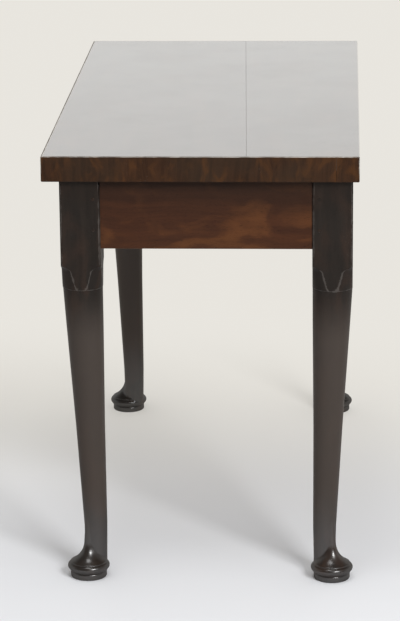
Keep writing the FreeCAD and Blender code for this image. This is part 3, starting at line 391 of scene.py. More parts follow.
def bare_oak(name, along, seed, low, high):
    """Unpolished oak with open pores and a dusty bloom along its edges."""
    material, tree, shader = start_material(name)
    spot, wood = lay_grain(tree, along, seed)
    wear = use(tree, marks, Place=spot)
    gap = use(tree, board_edge, Place=spot, Low=low, High=high)["Gap"]
    rub = use(tree, rubbed, Place=spot, Gap=gap, Width=OAK_RUB_WIDTH, Ragged=1.0)["Rub"]
    colour = mix_colours(tree, wood["Streak"], OAK["dark"], OAK["brown"])
    for mask, share, layer in (
        (wood["Flame"], 0.35, OAK["light"]),
        (wood["Pores"], 0.8, OAK["pore"]),
        (wear["Smudge"], 0.35, OAK["dust"]),
        (rub, 0.4, OAK["bare"]),
    ):
        colour = mix_colours(tree, calc(tree, "MULTIPLY", mask, share), colour, layer)
    tree.links.new(colour, shader.inputs["Base Color"])
    dusty = calc(tree, "MULTIPLY_ADD", wear["Smudge"], 0.2, 0.6)
    tree.links.new(dusty, shader.inputs["Roughness"])
    shader.inputs["Specular IOR Level"].default_value = 0.3
    relief = calc(tree, "MULTIPLY_ADD", wood["Pores"], -1.0, wood["Streak"])
    bump = place(tree, "Bump", {"Strength": 0.35, "Distance": GRAIN_DEPTH, "Height": relief})
    tree.links.new(bump.outputs[0], shader.inputs["Normal"])
    return material


def old_metal(name, bright, dull, smooth, rough):
    """A metal that is bright where it is handled and dull elsewhere."""
    material, tree, shader = start_material(name)
    spot = place(tree, "TexCoord").outputs["Object"]
    wear = use(tree, marks, Place=spot)
    spots = {"Vector": spot, "Scale": 90.0, "Detail": 6.0, "Roughness": 0.65}
    fine = place(tree, "TexNoise", spots).outputs[0]
    tarnish = remap(tree, fine, 0.4, 0.65)
    colour = mix_colours(tree, tarnish, bright, dull)
    scratched = mix_colours(tree, wear["Scratches"], colour, bright)
    tree.links.new(scratched, shader.inputs["Base Color"])
    shine = calc(tree, "MULTIPLY_ADD", tarnish, rough - smooth, smooth)
    grained = calc(tree, "MULTIPLY_ADD", wear["Speckle"], 0.08, shine)
    tree.links.new(grained, shader.inputs["Roughness"])
    shader.inputs["Metallic"].default_value = 1.0
    bump = place(tree, "Bump", {"Strength": 0.12, "Distance": TARNISH_DEPTH, "Height": fine})
    tree.links.new(bump.outputs[0], shader.inputs["Normal"])
    return material


brass = old_metal(
    "old_brass", bright=(0.52, 0.35, 0.13, 1), dull=(0.2, 0.12, 0.045, 1), smooth=0.24, rough=0.46
)
iron = old_metal(
    "dull_iron", bright=(0.16, 0.15, 0.14, 1), dull=(0.055, 0.045, 0.04, 1), smooth=0.45, rough=0.65
)
print("metals:", brass.name, iron.name)

# %% [markdown]
# Now each board of the frame gets its material. The table of finishes reads like a maker's list:
# which wood, and which way the grain runs. The end and front edges of the top are faced with strips
# whose grain stands upright, as cross-banding does. A seed taken from the board's place in the list
# moves the pattern, so no two boards match.

# %% Finish the boards that stay
BOARD_SHIFT = 0.37
finishes = {
    "top_board_front": (TOP, "x"), "top_board_back": (TOP, "x"),
    "top_facing_front": (FACED, "z"), "top_facing_left": (FACED, "z"),
    "top_facing_right": (FACED, "z"),
    "top_lipping_front": (FRAME_WOOD, "x"), "top_lipping_back": (FRAME_WOOD, "x"),
    "top_lipping_left": (FRAME_WOOD, "y"), "top_lipping_right": (FRAME_WOOD, "y"),
    "side_apron_left": (FIGURED, "y"), "side_apron_right": (FIGURED, "y"),
    "upper_drawer_rail": (FRAME_WOOD, "x"), "lower_drawer_rail": (FRAME_WOOD, "x"),
    "drawer_divider_left": (FRAME_WOOD, "z"), "drawer_divider_right": (FRAME_WOOD, "z"),
    "back_apron": ("oak", "x"), "glue_blocks": ("oak", "z"), "drawer_stops": ("oak", "x"),
}
for side in ("left", "right"):
    for bar in ("side_runner", "centre_runner", "centre_guide", "kicker"):
        finishes[f"{bar}_{side}"] = ("oak", "y")
for drawer in ("left", "centre", "right"):
    finishes[f"{drawer}_drawer_front"] = (FIGURED, "x")
    finishes[f"{drawer}_drawer_cock_beads"] = (FRAME_WOOD, "x")
    finishes[f"{drawer}_drawer_back"] = ("oak", "x")
    finishes[f"{drawer}_drawer_bottom"] = ("oak", "x")
    finishes[f"{drawer}_drawer_left_side"] = ("oak", "y")
    finishes[f"{drawer}_drawer_right_side"] = ("oak", "y")


def dress(node, material):
    """Give a CAD node one material."""
    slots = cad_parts[node].data.materials
    slots.clear()
    slots.append(material)


for number, (node, (recipe, along)) in enumerate(finishes.items()):
    low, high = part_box(node)
    seed = BOARD_SHIFT * number
    if recipe == "oak":
        dress(node, bare_oak(f"oak_{node}", along, seed, low, high))
    else:
        wood = polish(f"wood_{node}", recipe, along, seed, board_edge, Low=low, High=high)
        dress(node, wood)
for node in ("top_screws", "lock_case", "lock_bolt"):
    dress(node, iron)
print("finished", len(finishes), "boards")

# %% [markdown]
# A leg is turned from a square post: the lathe makes the round shaft, the pad foot and the hollow
# under the knee, and leaves the square where it doesn't reach. Here a ring of edges is raised level
# by level, like a pot on a wheel, and each ring is set to the outline at that height. The shaft
# leans inwards over its pad, so near the floor a ring is the outer line of two circles, the pad's
# and the shaft's, melted together where they meet. Above the ankle the pad's circle shrinks away
# inside the shaft. A lathe shape could be spun from a profile, but a spin has only one axis, and
# this leg has two.

# %% The outline of a leg
HALF_SQUARE = 0.032
KNEE = 0.493
NECK_TOP = 0.521
COVE_TOP = 0.533
ANKLE = 0.085
LEAN = 0.012
STILE_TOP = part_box("leg_front_right")[1].z
SHAFT = ((0.0185, 0.0175), (ANKLE, 0.0188), (0.259, 0.0236), (0.433, 0.03), (KNEE, 0.0319))
DISC_RADIUS = 0.0295
BEAD_LINE = 0.0283
BEAD_HEIGHT = 0.0185
BEAD = 0.006
INSTEP_FOOT = 0.027
INSTEP_TOP = 0.063
INSTEP_SWEEP = 0.04
INSTEP_THROAT = 0.006
INSTEP_STEPS = 23
INSTEP_RISE = 0.0016
INSTEP_END = 0.125
FADE_STEPS = 12


def shaft_radius(level):
    """The radius of the round shaft at a height."""
    for (low, thin), (high, thick) in zip(SHAFT, SHAFT[1:]):
        if level <= high:
            share = max(0.0, (level - low) / (high - low))
            return thin + (thick - thin) * share
    return SHAFT[-1][1]


def instep_radius(level):
    """The hollow sweep of the instep from the pad to the ankle."""
    hollow = math.sqrt(INSTEP_SWEEP ** 2 - (INSTEP_TOP - level) ** 2)
    return INSTEP_THROAT + INSTEP_SWEEP - hollow


foot_levels = [
    (0.0, DISC_RADIUS - 0.0012), (0.0006, DISC_RADIUS - 0.0004), (0.0014, DISC_RADIUS),
    (0.0083, DISC_RADIUS), (0.0091, DISC_RADIUS - 0.0003), (0.0096, DISC_RADIUS - 0.0009),
    (0.0102, DISC_RADIUS - 0.0004), (0.0108, 0.0301), (0.0128, 0.0315), (0.0145, 0.0327),
]
for degrees in range(-30, 71, 10):
    angle = math.radians(degrees)
    foot_levels.append((BEAD_HEIGHT + BEAD * math.sin(angle), BEAD_LINE + BEAD * math.cos(angle)))
foot_levels += [(0.0245, 0.0296), (0.0249, 0.0297), (0.0255, 0.0299), (0.0262, 0.0297)]
for step in range(INSTEP_STEPS):
    level = INSTEP_FOOT + INSTEP_RISE * step
    foot_levels.append((level, instep_radius(level)))
for step in range(1, FADE_STEPS + 1):
    share = step / FADE_STEPS
    level = INSTEP_TOP + share * (INSTEP_END - INSTEP_TOP)
    foot_levels.append((level, INSTEP_THROAT * (1.0 - share)))
print("the foot has", len(foot_levels), "levels up to", round(foot_levels[-1][0], 3), "m")

# %% [markdown]
# Above the foot only the shaft is left, then the knee with its small step, the neck and the hollow
# that frees the corners of the square. The rings run on as circles past the square's corners.

# %% The levels above the foot
NECK_FOOT_RADIUS = 0.0327
NECK_TOP_RADIUS = 0.0355
CORNER = 0.04375
COVE_SWEEP = 0.01285
COVE_STEPS = 12
KNEE_FOOT = KNEE - 0.0005
KNEE_STEP = ((KNEE_FOOT, SHAFT[-1][1]), (KNEE + 0.0001, 0.0324), (KNEE + 0.0008, NECK_FOOT_RADIUS))
SHAFT_RISE = 0.0125
SHAFT_STEPS = 29
shaft_levels = [INSTEP_END + SHAFT_RISE * step for step in range(1, SHAFT_STEPS + 1)]
upper_levels = list(KNEE_STEP)
for share in (0.25, 0.5, 0.75, 1.0):
    level = KNEE + share * (NECK_TOP - KNEE)
    flare = share * (NECK_TOP_RADIUS - NECK_FOOT_RADIUS)
    upper_levels.append((level, NECK_FOOT_RADIUS + flare))
for step in range(1, COVE_STEPS + 1):
    rise = (COVE_TOP - NECK_TOP) * step / COVE_STEPS
    bulge = COVE_SWEEP - math.sqrt(COVE_SWEEP ** 2 - rise ** 2)
    upper_levels.append((NECK_TOP + rise, NECK_TOP_RADIUS + bulge))
for level in (COVE_TOP + 0.0005, 0.56, 0.62, STILE_TOP):
    upper_levels.append((level, CORNER))
print("a leg has", len(foot_levels) + len(shaft_levels) + len(upper_levels), "levels")

# %% [markdown]
# To raise a ring, its edges are extruded and each new point moves along its own direction from the
# ring's middle. At the floor that middle is the pad's centre, and by the ankle it has wandered over
# to the shaft's.

# %% Raise the rings
SEGMENTS = 96
HEEL = 0.019
WANDER = 0.026
LEAST_MELT = 0.0002
MELT = 0.007
MELT_RISE = 0.014
BELOW_KNEE = KNEE - 0.001


def settle(value):
    """0 below 0, 1 above 1, and a soft step between."""
    share = min(1.0, max(0.0, value))
    return share * share * (3.0 - 2.0 * share)


def shaft_middle(level, inward):
    """The shaft's centre at a height, seen from the pad's centre."""
    return inward * LEAN * min(1.0, max(0.0, (KNEE - level) / (KNEE - ANKLE)))


def ring_middle(level, inward):
    """The middle of a ring, which goes from the pad's centre to the shaft's."""
    return shaft_middle(level, inward) * settle((level - WANDER) / (INSTEP_TOP - WANDER))


def reach(direction, middle, radius):
    """How far a ray from the ring's middle runs before it leaves a circle."""
    along = direction.dot(middle)
    across = direction.cross(middle)
    return along + math.sqrt(max(0.0, radius * radius - across * across))


def melted(first, second, melt):
    """The larger of two lengths, with a soft join where they are nearly alike."""
    share = max(0.0, 1.0 - abs(first - second) / melt)
    return max(first, second) + share * share * melt / 4


def ring_length(direction, level, turned, inward):
    """How far a ring reaches from its middle in one direction."""
    if level < HEEL or level > BELOW_KNEE:
        return turned
    middle = ring_middle(level, inward)
    shaft = reach(direction, shaft_middle(level, inward) - middle, shaft_radius(level))
    if turned == 0.0:
        return shaft
    starting = settle((level - HEEL) / MELT_RISE)
    ending = settle((INSTEP_END - level) / (INSTEP_END - INSTEP_TOP))
    melt = LEAST_MELT + MELT * starting * ending
    return melted(reach(direction, -middle, turned), shaft, melt)


def turn_blank(bm, inward):
    """The whole leg as the lathe leaves it, round from the floor to the top."""
    bmesh.ops.create_circle(bm, cap_ends=True, segments=SEGMENTS, radius=foot_levels[0][1])
    edges = bm.edges[:]
    old_middle = Vector((0.0, 0.0))
    plain_shaft = [(level, 0.0) for level in shaft_levels]
    for level, turned in foot_levels[1:] + plain_shaft + upper_levels:
        grown = bmesh.ops.extrude_edge_only(bm, edges=edges)["geom"]
        edges = [item for item in grown if isinstance(item, bmesh.types.BMEdge)]
        new_middle = ring_middle(level, inward)
        for point in (item for item in grown if isinstance(item, bmesh.types.BMVert)):
            direction = (point.co.xy - old_middle).normalized()
            point.co.xy = new_middle + direction * ring_length(direction, level, turned, inward)
            point.co.z = level
        old_middle = new_middle
    bmesh.ops.edgeloop_fill(bm, edges=edges)


print("rings have", SEGMENTS, "points")

# %% [markdown]
# The post was square before it was turned. Four straight cuts plane its flats again, and the edge
# where flat and turning meet is the curved lappet that the eye sees at the knee. A boolean with a
# box would cut as well, but four bisecting planes keep the rings as they are and leave the cut
# edges ready for a small bevel.

# %% Plane the flats
FLATS = ((1, 0, 0), (-1, 0, 0), (0, 1, 0), (0, -1, 0))
FLAT_EASE = 0.0004
CLOSE = 1e-6


def plane_flats(bm):
    """Cut the four flat sides of the stile and ease their edges."""
    rims = []
    for normal in FLATS:
        faces = [face for face in bm.faces if face.calc_center_median().z > BELOW_KNEE]
        edges = {edge for face in faces for edge in face.edges}
        points = {point for face in faces for point in face.verts}
        cut = bmesh.ops.bisect_plane(
            bm, geom=[*points, *edges, *faces], dist=CLOSE, plane_co=Vector(normal) * HALF_SQUARE,
            plane_no=normal, clear_outer=True,
        )
        rim = [item for item in cut["geom_cut"] if isinstance(item, bmesh.types.BMEdge)]
        bmesh.ops.edgeloop_fill(bm, edges=rim)
        rims += rim
    bmesh.ops.bevel(
        bm, geom=rims, offset=FLAT_EASE, segments=2, profile=0.5, affect="EDGES", material=-1,
        clamp_overlap=True,
    )


def finish_piece(bm, name, body, material, node):
    """Turn a bmesh into an object that stands for a CAD node and rides on its body."""
    bmesh.ops.recalc_face_normals(bm, faces=bm.faces[:])
    for face in bm.faces:
        face.smooth = True
    mesh = bpy.data.meshes.new(name)
    bm.to_mesh(mesh)
    bm.free()
    mesh.materials.append(material)
    piece = bpy.data.objects.new(name, mesh)
    bpy.context.scene.collection.objects.link(piece)
    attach(piece, body)
    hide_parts(node)
    print(name, "has", len(mesh.polygons), "faces")
    return piece


print("ready to plane", len(FLATS), "flats on each leg")

# %% [markdown]
# The lappet's edges are where the polish wears first, and they are curved, so the board group can't
# find them. But they lie where the turned surface meets the flat: on the flat, the distance left to
# the turned radius is the distance to the edge, and on the turning it is what is left to the flat.
# The larger of the two is the gap.

# %% Wear at the lappet
KNEE_EDGE = KNEE + 0.0006
lappet_inputs = {"Place": "Vector", "Middle": "Vector"}
lappet_edge, entry, leave = new_group("lappet_edge", lappet_inputs, ("Gap",))
from_middle = {0: entry["Place"], 1: entry["Middle"]}
local = place(lappet_edge, "VectorMath", from_middle, operation="SUBTRACT").outputs[0]
x, y, z = place(lappet_edge, "SeparateXYZ", {0: local}).outputs
flattened = {0: local, 1: (1.0, 1.0, 0.0)}
level_only = place(lappet_edge, "VectorMath", flattened, operation="MULTIPLY").outputs[0]
radius = place(lappet_edge, "VectorMath", {0: level_only}, operation="LENGTH").outputs["Value"]
across_x = calc(lappet_edge, "ABSOLUTE", x)
across_y = calc(lappet_edge, "ABSOLUTE", y)
widest = calc(lappet_edge, "MAXIMUM", across_x, across_y)
to_flat = calc(lappet_edge, "SUBTRACT", HALF_SQUARE, widest)

along_neck = {"Value": z, "From Min": KNEE, "From Max": NECK_TOP}
along_neck.update({"To Min": NECK_FOOT_RADIUS, "To Max": NECK_TOP_RADIUS})
neck = place(lappet_edge, "MapRange", along_neck).outputs[0]
along_cove = {"Value": z, "From Min": NECK_TOP, "From Max": COVE_TOP}
along_cove.update({"To Min": 0.0, "To Max": COVE_TOP - NECK_TOP})
rise = place(lappet_edge, "MapRange", along_cove).outputs[0]
drop = calc(lappet_edge, "SUBTRACT", COVE_SWEEP ** 2, calc(lappet_edge, "MULTIPLY", rise, rise))
cove = calc(lappet_edge, "SUBTRACT", COVE_SWEEP, calc(lappet_edge, "SQRT", drop))
to_turning = calc(lappet_edge, "SUBTRACT", calc(lappet_edge, "ADD", neck, cove), radius)
below_knee = calc(lappet_edge, "SUBTRACT", KNEE_FOOT, z)
gap = calc(lappet_edge, "MAXIMUM", calc(lappet_edge, "MAXIMUM", to_flat, to_turning), below_knee)
knee_rim = calc(lappet_edge, "ABSOLUTE", calc(lappet_edge, "SUBTRACT", z, KNEE_EDGE))
lappet_edge.links.new(calc(lappet_edge, "MINIMUM", gap, knee_rim), leave["Gap"])
print("group", lappet_edge.name, "has", len(lappet_edge.nodes), "nodes")

# %% [markdown]
# All four legs are alike but for the direction in which the shaft leans, so one loop makes them.
# The Weighted Normal modifier lets the large flats decide the shading at their bevels, which keeps
# them looking flat.

# %% The four legs
LEGS = {
    "leg_front_left": (-1, -1), "leg_front_right": (1, -1),
    "leg_back_left": (-1, 1), "leg_back_right": (1, 1),
}
LEG_START = 5.0
LEG_SHIFT = 0.61
for number, (node, (sign_x, sign_y)) in enumerate(LEGS.items()):
    low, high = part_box(node)
    pad = ((low.x + high.x) / 2, (low.y + high.y) / 2, 0.0)
    bm = bmesh.new()
    turn_blank(bm, Vector((-sign_x, -sign_y)))
    plane_flats(bm)
    bmesh.ops.translate(bm, vec=pad, verts=bm.verts[:])
    seed = LEG_START + LEG_SHIFT * number
    material = polish(f"wood_{node}", FRAME_WOOD, "z", seed, lappet_edge, Middle=pad)
    leg = finish_piece(bm, f"turned_{node}", "carcase", material, node)
    leg.modifiers.new("even_shading", "WEIGHTED_NORMAL").keep_sharp = True

# %% [markdown]
# Wooden pegs lock the tenons in the legs, and their ends show as small round spots that stand a
# hair proud, because the legs have shrunk and the pegs haven't. Each is a short rod with a softened
# end. A cone with equal radii is Blender's cylinder, and a bevel on its end ring does the
# softening.

# %% Peg ends
PEG_RADIUS = 0.003
PEG_SHOWN = 0.006
PEG_PROUD = 0.0003
PEG_SIDES = 14
PEG_SOFT = 0.0005
PEG_START = 9.3
SIDE_PEG_LINES = (-0.17, 0.187)
BACK_PEG_LINE = 0.433
peg_low, peg_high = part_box("tenon_pegs")
peg_ends = []
for level in (peg_low.z + PEG_RADIUS, peg_high.z - PEG_RADIUS):
    for side in (-1, 1):
        for line in SIDE_PEG_LINES:
            peg_ends.append((Vector((side * peg_high.x, line, level)), Vector((side, 0, 0))))
        peg_ends.append((Vector((side * BACK_PEG_LINE, peg_high.y, level)), Vector((0, 1, 0))))

bm = bmesh.new()
for end, outward in peg_ends:
    turned = outward.to_track_quat("Z", "Y").to_matrix().to_4x4()
    spot = Matrix.Translation(end + outward * (PEG_PROUD - PEG_SHOWN / 2)) @ turned
    made = bmesh.ops.create_cone(
        bm, cap_ends=True, segments=PEG_SIDES, radius1=PEG_RADIUS, radius2=PEG_RADIUS,
        depth=PEG_SHOWN, matrix=spot,
    )["verts"]
    edges = {edge for point in made for edge in point.link_edges}
    rim = [edge for edge in edges if all((v.co - end).dot(outward) > 0 for v in edge.verts)]
    bmesh.ops.bevel(
        bm, geom=rim, offset=PEG_SOFT, segments=2, profile=0.5, affect="EDGES", material=-1
    )
peg_recipe = dict(FRAME_WOOD, brown=(0.032, 0.02, 0.014, 1))
peg_wood = polish("wood_pegs", peg_recipe, "x", PEG_START, board_edge, Low=peg_low, High=peg_high)
finish_piece(bm, "peg_ends", "carcase", peg_wood, "tenon_pegs")
print(len(peg_ends), "pegs")

# %% [markdown]
# Each drawer has a swan-neck handle: two cast posts with round rosettes, and a bail that hangs
# between them. A post is a lathe shape, so its profile is drawn once as a line of points and spun
# round. Behind the drawer front its thread ends in a square nut, which shows when the drawer is
# open.

# %% Handle posts
RAIL_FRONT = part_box("centre_drawer_front")[0].y
FRONT_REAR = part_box("centre_drawer_front")[1].y
HANDLE_REACH = 0.032
POST_PROFILE = (
    (0.0, 0.0), (0.011, 0.0), (0.011, 0.0007), (0.0106, 0.0011), (0.0098, 0.0012),
    (0.0094, 0.0016), (0.0087, 0.0019), (0.008, 0.0016), (0.0074, 0.0012), (0.0066, 0.0013),
    (0.0058, 0.0018), (0.0048, 0.002), (0.004, 0.0026), (0.0035, 0.0038), (0.0034, 0.005),
    (0.0038, 0.0058), (0.0044, 0.0071), (0.0049, 0.0085), (0.005, 0.0097), (0.0047, 0.0112),
    (0.004, 0.0125), (0.0029, 0.0136), (0.0015, 0.0143), (0.0, 0.0145),
)
NUT_SIDE = 0.009
NUT_THICKNESS = 0.0035
NUT_SOFT = 0.0005
SHANK_RADIUS = 0.0025
SHANK_LENGTH = 0.0055
POST_SIDES = 40
SHANK_SIDES = 20


def spin_profile(bm, profile, spot):
    """Spin (radius, distance) points round the Y axis through a spot on the drawer front."""
    points = [bm.verts.new((spot.x + radius, spot.y - out, spot.z)) for radius, out in profile]
    line = [bm.edges.new(pair) for pair in zip(points, points[1:])]
    bmesh.ops.spin(
        bm, geom=points + line, cent=spot, axis=(0, 1, 0), angle=2 * math.pi, steps=POST_SIDES,
        use_merge=True,
    )
    bmesh.ops.remove_doubles(bm, verts=bm.verts[:], dist=CLOSE)


def cast_posts(bm, middle, height):
    """Two posts with their nuts behind the drawer front."""
    for side in (-1, 1):
        spot = Vector((middle + side * HANDLE_REACH, RAIL_FRONT, height))
        spin_profile(bm, POST_PROFILE, spot)
        behind = Vector((spot.x, FRONT_REAR, spot.z))
        quarter = Matrix.Rotation(math.pi / 2, 4, "X")
        nut = bmesh.ops.create_cube(bm, size=1.0)["verts"]
        bmesh.ops.scale(bm, vec=(NUT_SIDE, NUT_THICKNESS, NUT_SIDE), verts=nut)
        bmesh.ops.translate(bm, vec=behind + Vector((0, NUT_THICKNESS / 2, 0)), verts=nut)
        nut_edges = list({edge for point in nut for edge in point.link_edges})
        bmesh.ops.bevel(
            bm, geom=nut_edges, offset=NUT_SOFT, segments=2, profile=0.5, affect="EDGES", material=-1
        )
        shank = Matrix.Translation(behind + Vector((0, SHANK_LENGTH / 2, 0))) @ quarter
        bmesh.ops.create_cone(
            bm, cap_ends=True, segments=SHANK_SIDES, radius1=SHANK_RADIUS, radius2=SHANK_RADIUS,
            depth=SHANK_LENGTH, matrix=shank,
        )


print("post profile of", len(POST_PROFILE), "points")

# %% [markdown]
# The bail is a bent bar. Its section, a small ring, starts at the pin and is spun three times: in a
# tight shoulder, the other way for the swan neck, and in a wide bend. Then it is drawn out along
# the grip, swelling towards the middle where fingers pull, and mirrored. A curve with a round bevel
# would do it too, but it keeps one thickness.

# %% Bails
ARM = 0.0264
SHOULDER = 0.004
NECK = 0.008
BEND = 0.01
FLARE = math.radians(35)
BAR = 0.0022
PIN = 0.0015
PIN_LENGTH = 0.0041
BAR_SIDES = 18
PIN_SIDES = 14
GRIP_STEPS = 6
SWELL = 0.32
SEAM = 2e-5
neck_x = ARM - SHOULDER + NECK
bend_x = neck_x - (NECK + BEND) * math.cos(FLARE)
bend_z = -SHOULDER - (NECK + BEND) * math.sin(FLARE)


def bend_bail(bm, pin):
    """A bail that hangs from a pin line through the given middle point."""
    sideways = Matrix.Rotation(math.pi / 2, 4, "Y")
    start = Matrix.Translation(pin + Vector((ARM, 0, 0))) @ sideways
    bmesh.ops.create_circle(bm, cap_ends=True, segments=BAR_SIDES, radius=BAR, matrix=start)
    edges = bm.edges[:]
    turns = (
        ((ARM, 0, -SHOULDER), -math.pi / 2, 8),
        ((neck_x, 0, -SHOULDER), -FLARE, 6),
        ((bend_x, 0, bend_z), math.pi / 2 + FLARE, 14),
    )
    for centre, angle, steps in turns:
        points = list({point for edge in edges for point in edge.verts})
        last = bmesh.ops.spin(
            bm, geom=points + edges, cent=pin + Vector(centre), axis=(0, 1, 0), angle=angle,
            steps=steps,
        )["geom_last"]
        edges = [item for item in last if isinstance(item, bmesh.types.BMEdge)]
    for step in range(1, GRIP_STEPS + 1):
        grown = bmesh.ops.extrude_edge_only(bm, edges=edges)["geom"]
        points = [item for item in grown if isinstance(item, bmesh.types.BMVert)]
        edges = [item for item in grown if isinstance(item, bmesh.types.BMEdge)]
        bmesh.ops.translate(bm, vec=(-bend_x / GRIP_STEPS, 0, 0), verts=points)
        before = 1 + SWELL * settle((step - 1) / GRIP_STEPS)
        swell = (1 + SWELL * settle(step / GRIP_STEPS)) / before
        axis = Matrix.Translation(-(pin + Vector((0, 0, bend_z - BEND))))
        bmesh.ops.scale(bm, vec=(1, swell, swell), space=axis, verts=points)
    rod = Matrix.Translation(pin + Vector((ARM + PIN_LENGTH / 2, 0, 0))) @ sideways
    bmesh.ops.create_cone(
        bm, cap_ends=True, segments=PIN_SIDES, radius1=PIN, radius2=PIN, depth=PIN_LENGTH, matrix=rod
    )
    bmesh.ops.mirror(
        bm, geom=bm.verts[:] + bm.edges[:] + bm.faces[:], matrix=Matrix.Translation(-pin),
        axis="X", merge_dist=SEAM,
    )
    bmesh.ops.remove_doubles(bm, verts=bm.verts[:], dist=SEAM)


for drawer in ("left", "centre", "right"):
    posts = f"{drawer}_drawer_handle_posts"
    low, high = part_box(posts)
    middle = (low.x + high.x) / 2
    height = (low.z + high.z) / 2
    bm = bmesh.new()
    cast_posts(bm, middle, height)
    finish_piece(bm, f"{drawer}_turned_posts", f"{drawer}_drawer", brass, posts)
    bail = f"{drawer}_drawer_bail"
    bail_low, bail_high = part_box(bail)
    bm = bmesh.new()
    bend_bail(bm, Vector((middle, (bail_low.y + bail_high.y) / 2, height)))
    finish_piece(bm, f"{drawer}_swan_neck_bail", f"{drawer}_bail", brass, bail)

# %% [markdown]
# The keyhole of the middle drawer has a small brass plate. Its rim and its keyhole are two rings
# with as many points each: the inner ring starts as a circle, and its lowest points are pulled down
# into the slot. Bridging the loops one after another, and the last with the first, closes the plate
# between them, which is quicker and cleaner than cutting a hole with a boolean.

# %% Escutcheon
plate_low, plate_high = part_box("escutcheon")
plate_middle = (plate_low + plate_high) / 2
PLATE_POINTS = 48
KEYHOLE_RADIUS = 0.0022
KEYHOLE_SLOT = 0.0012
KEYHOLE_CHORD = KEYHOLE_RADIUS * math.sin(math.radians(30))
KEYHOLE_TAIL = 0.007
SLOT_START = 0.8 * KEYHOLE_RADIUS
PLATE_LIP = 0.0011
rings = (
    (0.009, 0.0), (0.009, 0.0006), (0.0086, 0.001), (0.0078, 0.001), (0.0072, 0.0007), (0.0066, 0.001),
)


def upright_ring(bm, radius, out):
    """A ring of edges in an upright plane, a little in front of the drawer."""
    spot = Matrix.Translation((plate_middle.x, plate_high.y - out, plate_middle.z))
    facing = Matrix.Rotation(math.pi / 2, 4, "X")
    points = bmesh.ops.create_circle(
        bm, segments=PLATE_POINTS, radius=radius, matrix=spot @ facing
    )["verts"]
    return points, list({edge for point in points for edge in point.link_edges})


bm = bmesh.new()
loops = [upright_ring(bm, radius, out)[1] for radius, out in rings]
for out in (PLATE_LIP, 0.0):
    points, edges = upright_ring(bm, KEYHOLE_RADIUS, out)
    for point in points:
        if plate_middle.z - point.co.z > SLOT_START:
            point.co.z = plate_middle.z - KEYHOLE_TAIL
            point.co.x *= KEYHOLE_SLOT / KEYHOLE_CHORD
    loops.append(edges)
for first, second in zip(loops, loops[1:] + loops[:1]):
    bmesh.ops.bridge_loops(bm, edges=first + second)
finish_piece(bm, "keyhole_plate", "centre_drawer", brass, "escutcheon")

# %% [markdown]
# The table stands in a plain studio: a pale floor without an edge in sight. The floor is one large
# sheet that goes from a cool white near the camera to cream behind. Behind the table, and far out
# on every side, it should look like an even backdrop whatever light falls on it, so there the
# camera sees a plain colour instead, which the Light Path node allows. Seen from below the floor is
# clear, so that the underside can be looked at too.

# %% The floor
FLOOR_HALF = 25.0
NEAR_PAPER = (0.785, 0.797, 0.83, 1)
FAR_PAPER = (0.9, 0.88, 0.83, 1)
BACKDROP = (0.81, 0.786, 0.735, 1)
PAPER_TURNS = (0.4, -0.9)
BACKDROP_BEHIND = (0.1, -1.1)
BACKDROP_AROUND = (1.3, 3.2)


def seen_ray(tree):
    """1 for rays from the camera and for what mirrors and glass show, 0 for rays that carry light."""
    path = place(tree, "LightPath").outputs
    mirrored = calc(tree, "MAXIMUM", path["Is Glossy Ray"], path["Is Transmission Ray"])
    return calc(tree, "MAXIMUM", path["Is Camera Ray"], mirrored)


bm = bmesh.new()
bmesh.ops.create_grid(bm, x_segments=1, y_segments=1, size=FLOOR_HALF)
floor_mesh = bpy.data.meshes.new("pale_floor")
bm.to_mesh(floor_mesh)
bm.free()
floor = bpy.data.objects.new("pale_floor", floor_mesh)
bpy.context.scene.collection.objects.link(floor)

paper, tree, shader = start_material("pale_paper")
spot = place(tree, "TexCoord").outputs["Object"]
towards = place(tree, "SeparateXYZ", {0: spot}).outputs[0]
paper_colour = mix_colours(tree, remap(tree, towards, *PAPER_TURNS), NEAR_PAPER, FAR_PAPER)
tree.links.new(paper_colour, shader.inputs["Base Color"])
shader.inputs["Roughness"].default_value = 0.85
shader.inputs["Specular IOR Level"].default_value = 0.1
glow = place(tree, "Emission", {"Color": BACKDROP, "Strength": 1.0})
away = place(tree, "VectorMath", {0: spot}, operation="LENGTH").outputs["Value"]
behind = remap(tree, towards, *BACKDROP_BEHIND)
around = remap(tree, away, *BACKDROP_AROUND)
far = calc(tree, "MULTIPLY", calc(tree, "MAXIMUM", behind, around), seen_ray(tree))
upper = place(tree, "MixShader", {0: far, 1: shader.outputs[0], 2: glow.outputs[0]})
clear = place(tree, "BsdfTransparent")
underside = place(tree, "NewGeometry").outputs["Backfacing"]
either = place(tree, "MixShader", {0: underside, 1: upper.outputs[0], 2: clear.outputs[0]})
tree.links.new(either.outputs[0], tree.nodes["Material Output"].inputs["Surface"])
floor_mesh.materials.append(paper)
print("floor of", round(floor.dimensions.x), "m")

# %% [markdown]
# Light comes from a pale sky, which fills the shadows, from a large lamp in front on the right,
# which draws the soft shadows of the legs, and from a small soft lamp overhead, which sets the
# shine on the waxed feet. The wide panel behind is what the polished top mirrors, since at this low
# angle the top shows what lies behind it. Polish mirrors the rest of the studio as well: pale paper
# that is a little cooler higher up, and a dark room overhead and behind the camera, without which
# the dark legs would look grey.

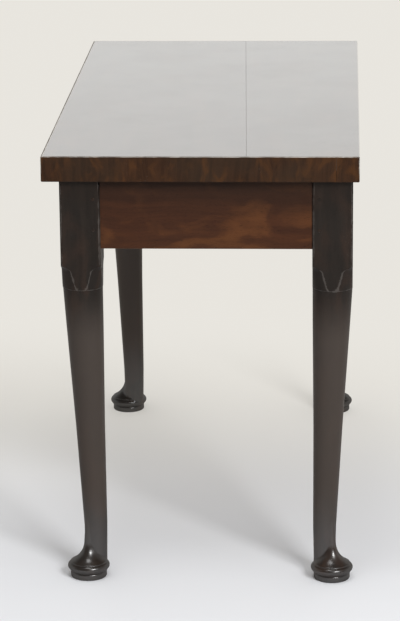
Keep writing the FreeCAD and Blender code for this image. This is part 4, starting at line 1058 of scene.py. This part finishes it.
# %% Lights
SKY = (1.0, 0.985, 0.95, 1)
SKY_STRENGTH = 0.6
UPPER_PAPER = (0.785, 0.788, 0.772, 1)
DARK_ROOM = (0.04, 0.038, 0.036, 1)
PAPER_RISES = (0.02, 0.2)
CAMERA_SIDE = (-0.2, 0.5)
CEILING = (0.35, 0.75)
world = bpy.data.worlds.new("pale_sky")
bpy.context.scene.world = world
world.use_nodes = True
tree = world.node_tree
sky = tree.nodes["Background"]
sky.inputs["Color"].default_value = SKY
sky.inputs["Strength"].default_value = SKY_STRENGTH
heading = place(tree, "SeparateXYZ", {0: place(tree, "TexCoord").outputs["Object"]}).outputs
mirrored = place(tree, "LightPath").outputs["Is Glossy Ray"]
paper_above = mix_colours(tree, remap(tree, heading[2], *PAPER_RISES), BACKDROP, UPPER_PAPER)
before_table = remap(tree, heading[0], *CAMERA_SIDE)
overhead = remap(tree, heading[2], *CEILING)
unlit = calc(tree, "MULTIPLY", calc(tree, "MAXIMUM", before_table, overhead), mirrored)
surroundings = mix_colours(tree, unlit, paper_above, DARK_ROOM)
backdrop = place(tree, "Background", {"Color": surroundings, "Strength": 1.0})
shown = place(tree, "MixShader", {0: seen_ray(tree), 1: sky.outputs[0], 2: backdrop.outputs[0]})
tree.links.new(shown.outputs[0], tree.nodes["World Output"].inputs["Surface"])


def hang_lamp(name, spot, aim, width, height, power):
    """A rectangular lamp that points at an aim and isn't seen by the camera."""
    data = bpy.data.lights.new(name, "AREA")
    data.shape = "RECTANGLE"
    data.size = width
    data.size_y = height
    data.energy = power
    lamp = bpy.data.objects.new(name, data)
    lamp.location = spot
    lamp.rotation_euler = (Vector(aim) - Vector(spot)).to_track_quat("-Z", "Y").to_euler()
    lamp.visible_camera = False
    bpy.context.scene.collection.objects.link(lamp)
    print(name, power, "W")


LAMPS = {
    "lamp_front_right": dict(
        spot=(4.0, 2.25, 3.2), aim=(0.0, 0.0, 0.3), width=1.6, height=1.6, power=168.0
    ),
    "lamp_overhead": dict(
        spot=(1.0, -0.2, 3.0), aim=(0.95, -0.2, 0.0), width=0.8, height=0.8, power=14.0
    ),
    "panel_behind": dict(
        spot=(-3.2, -0.15, 1.5), aim=(0.0, 0.0, 0.9), width=3.4, height=1.8, power=5.0
    ),
}
for name, lamp in LAMPS.items():
    hang_lamp(name, **lamp)
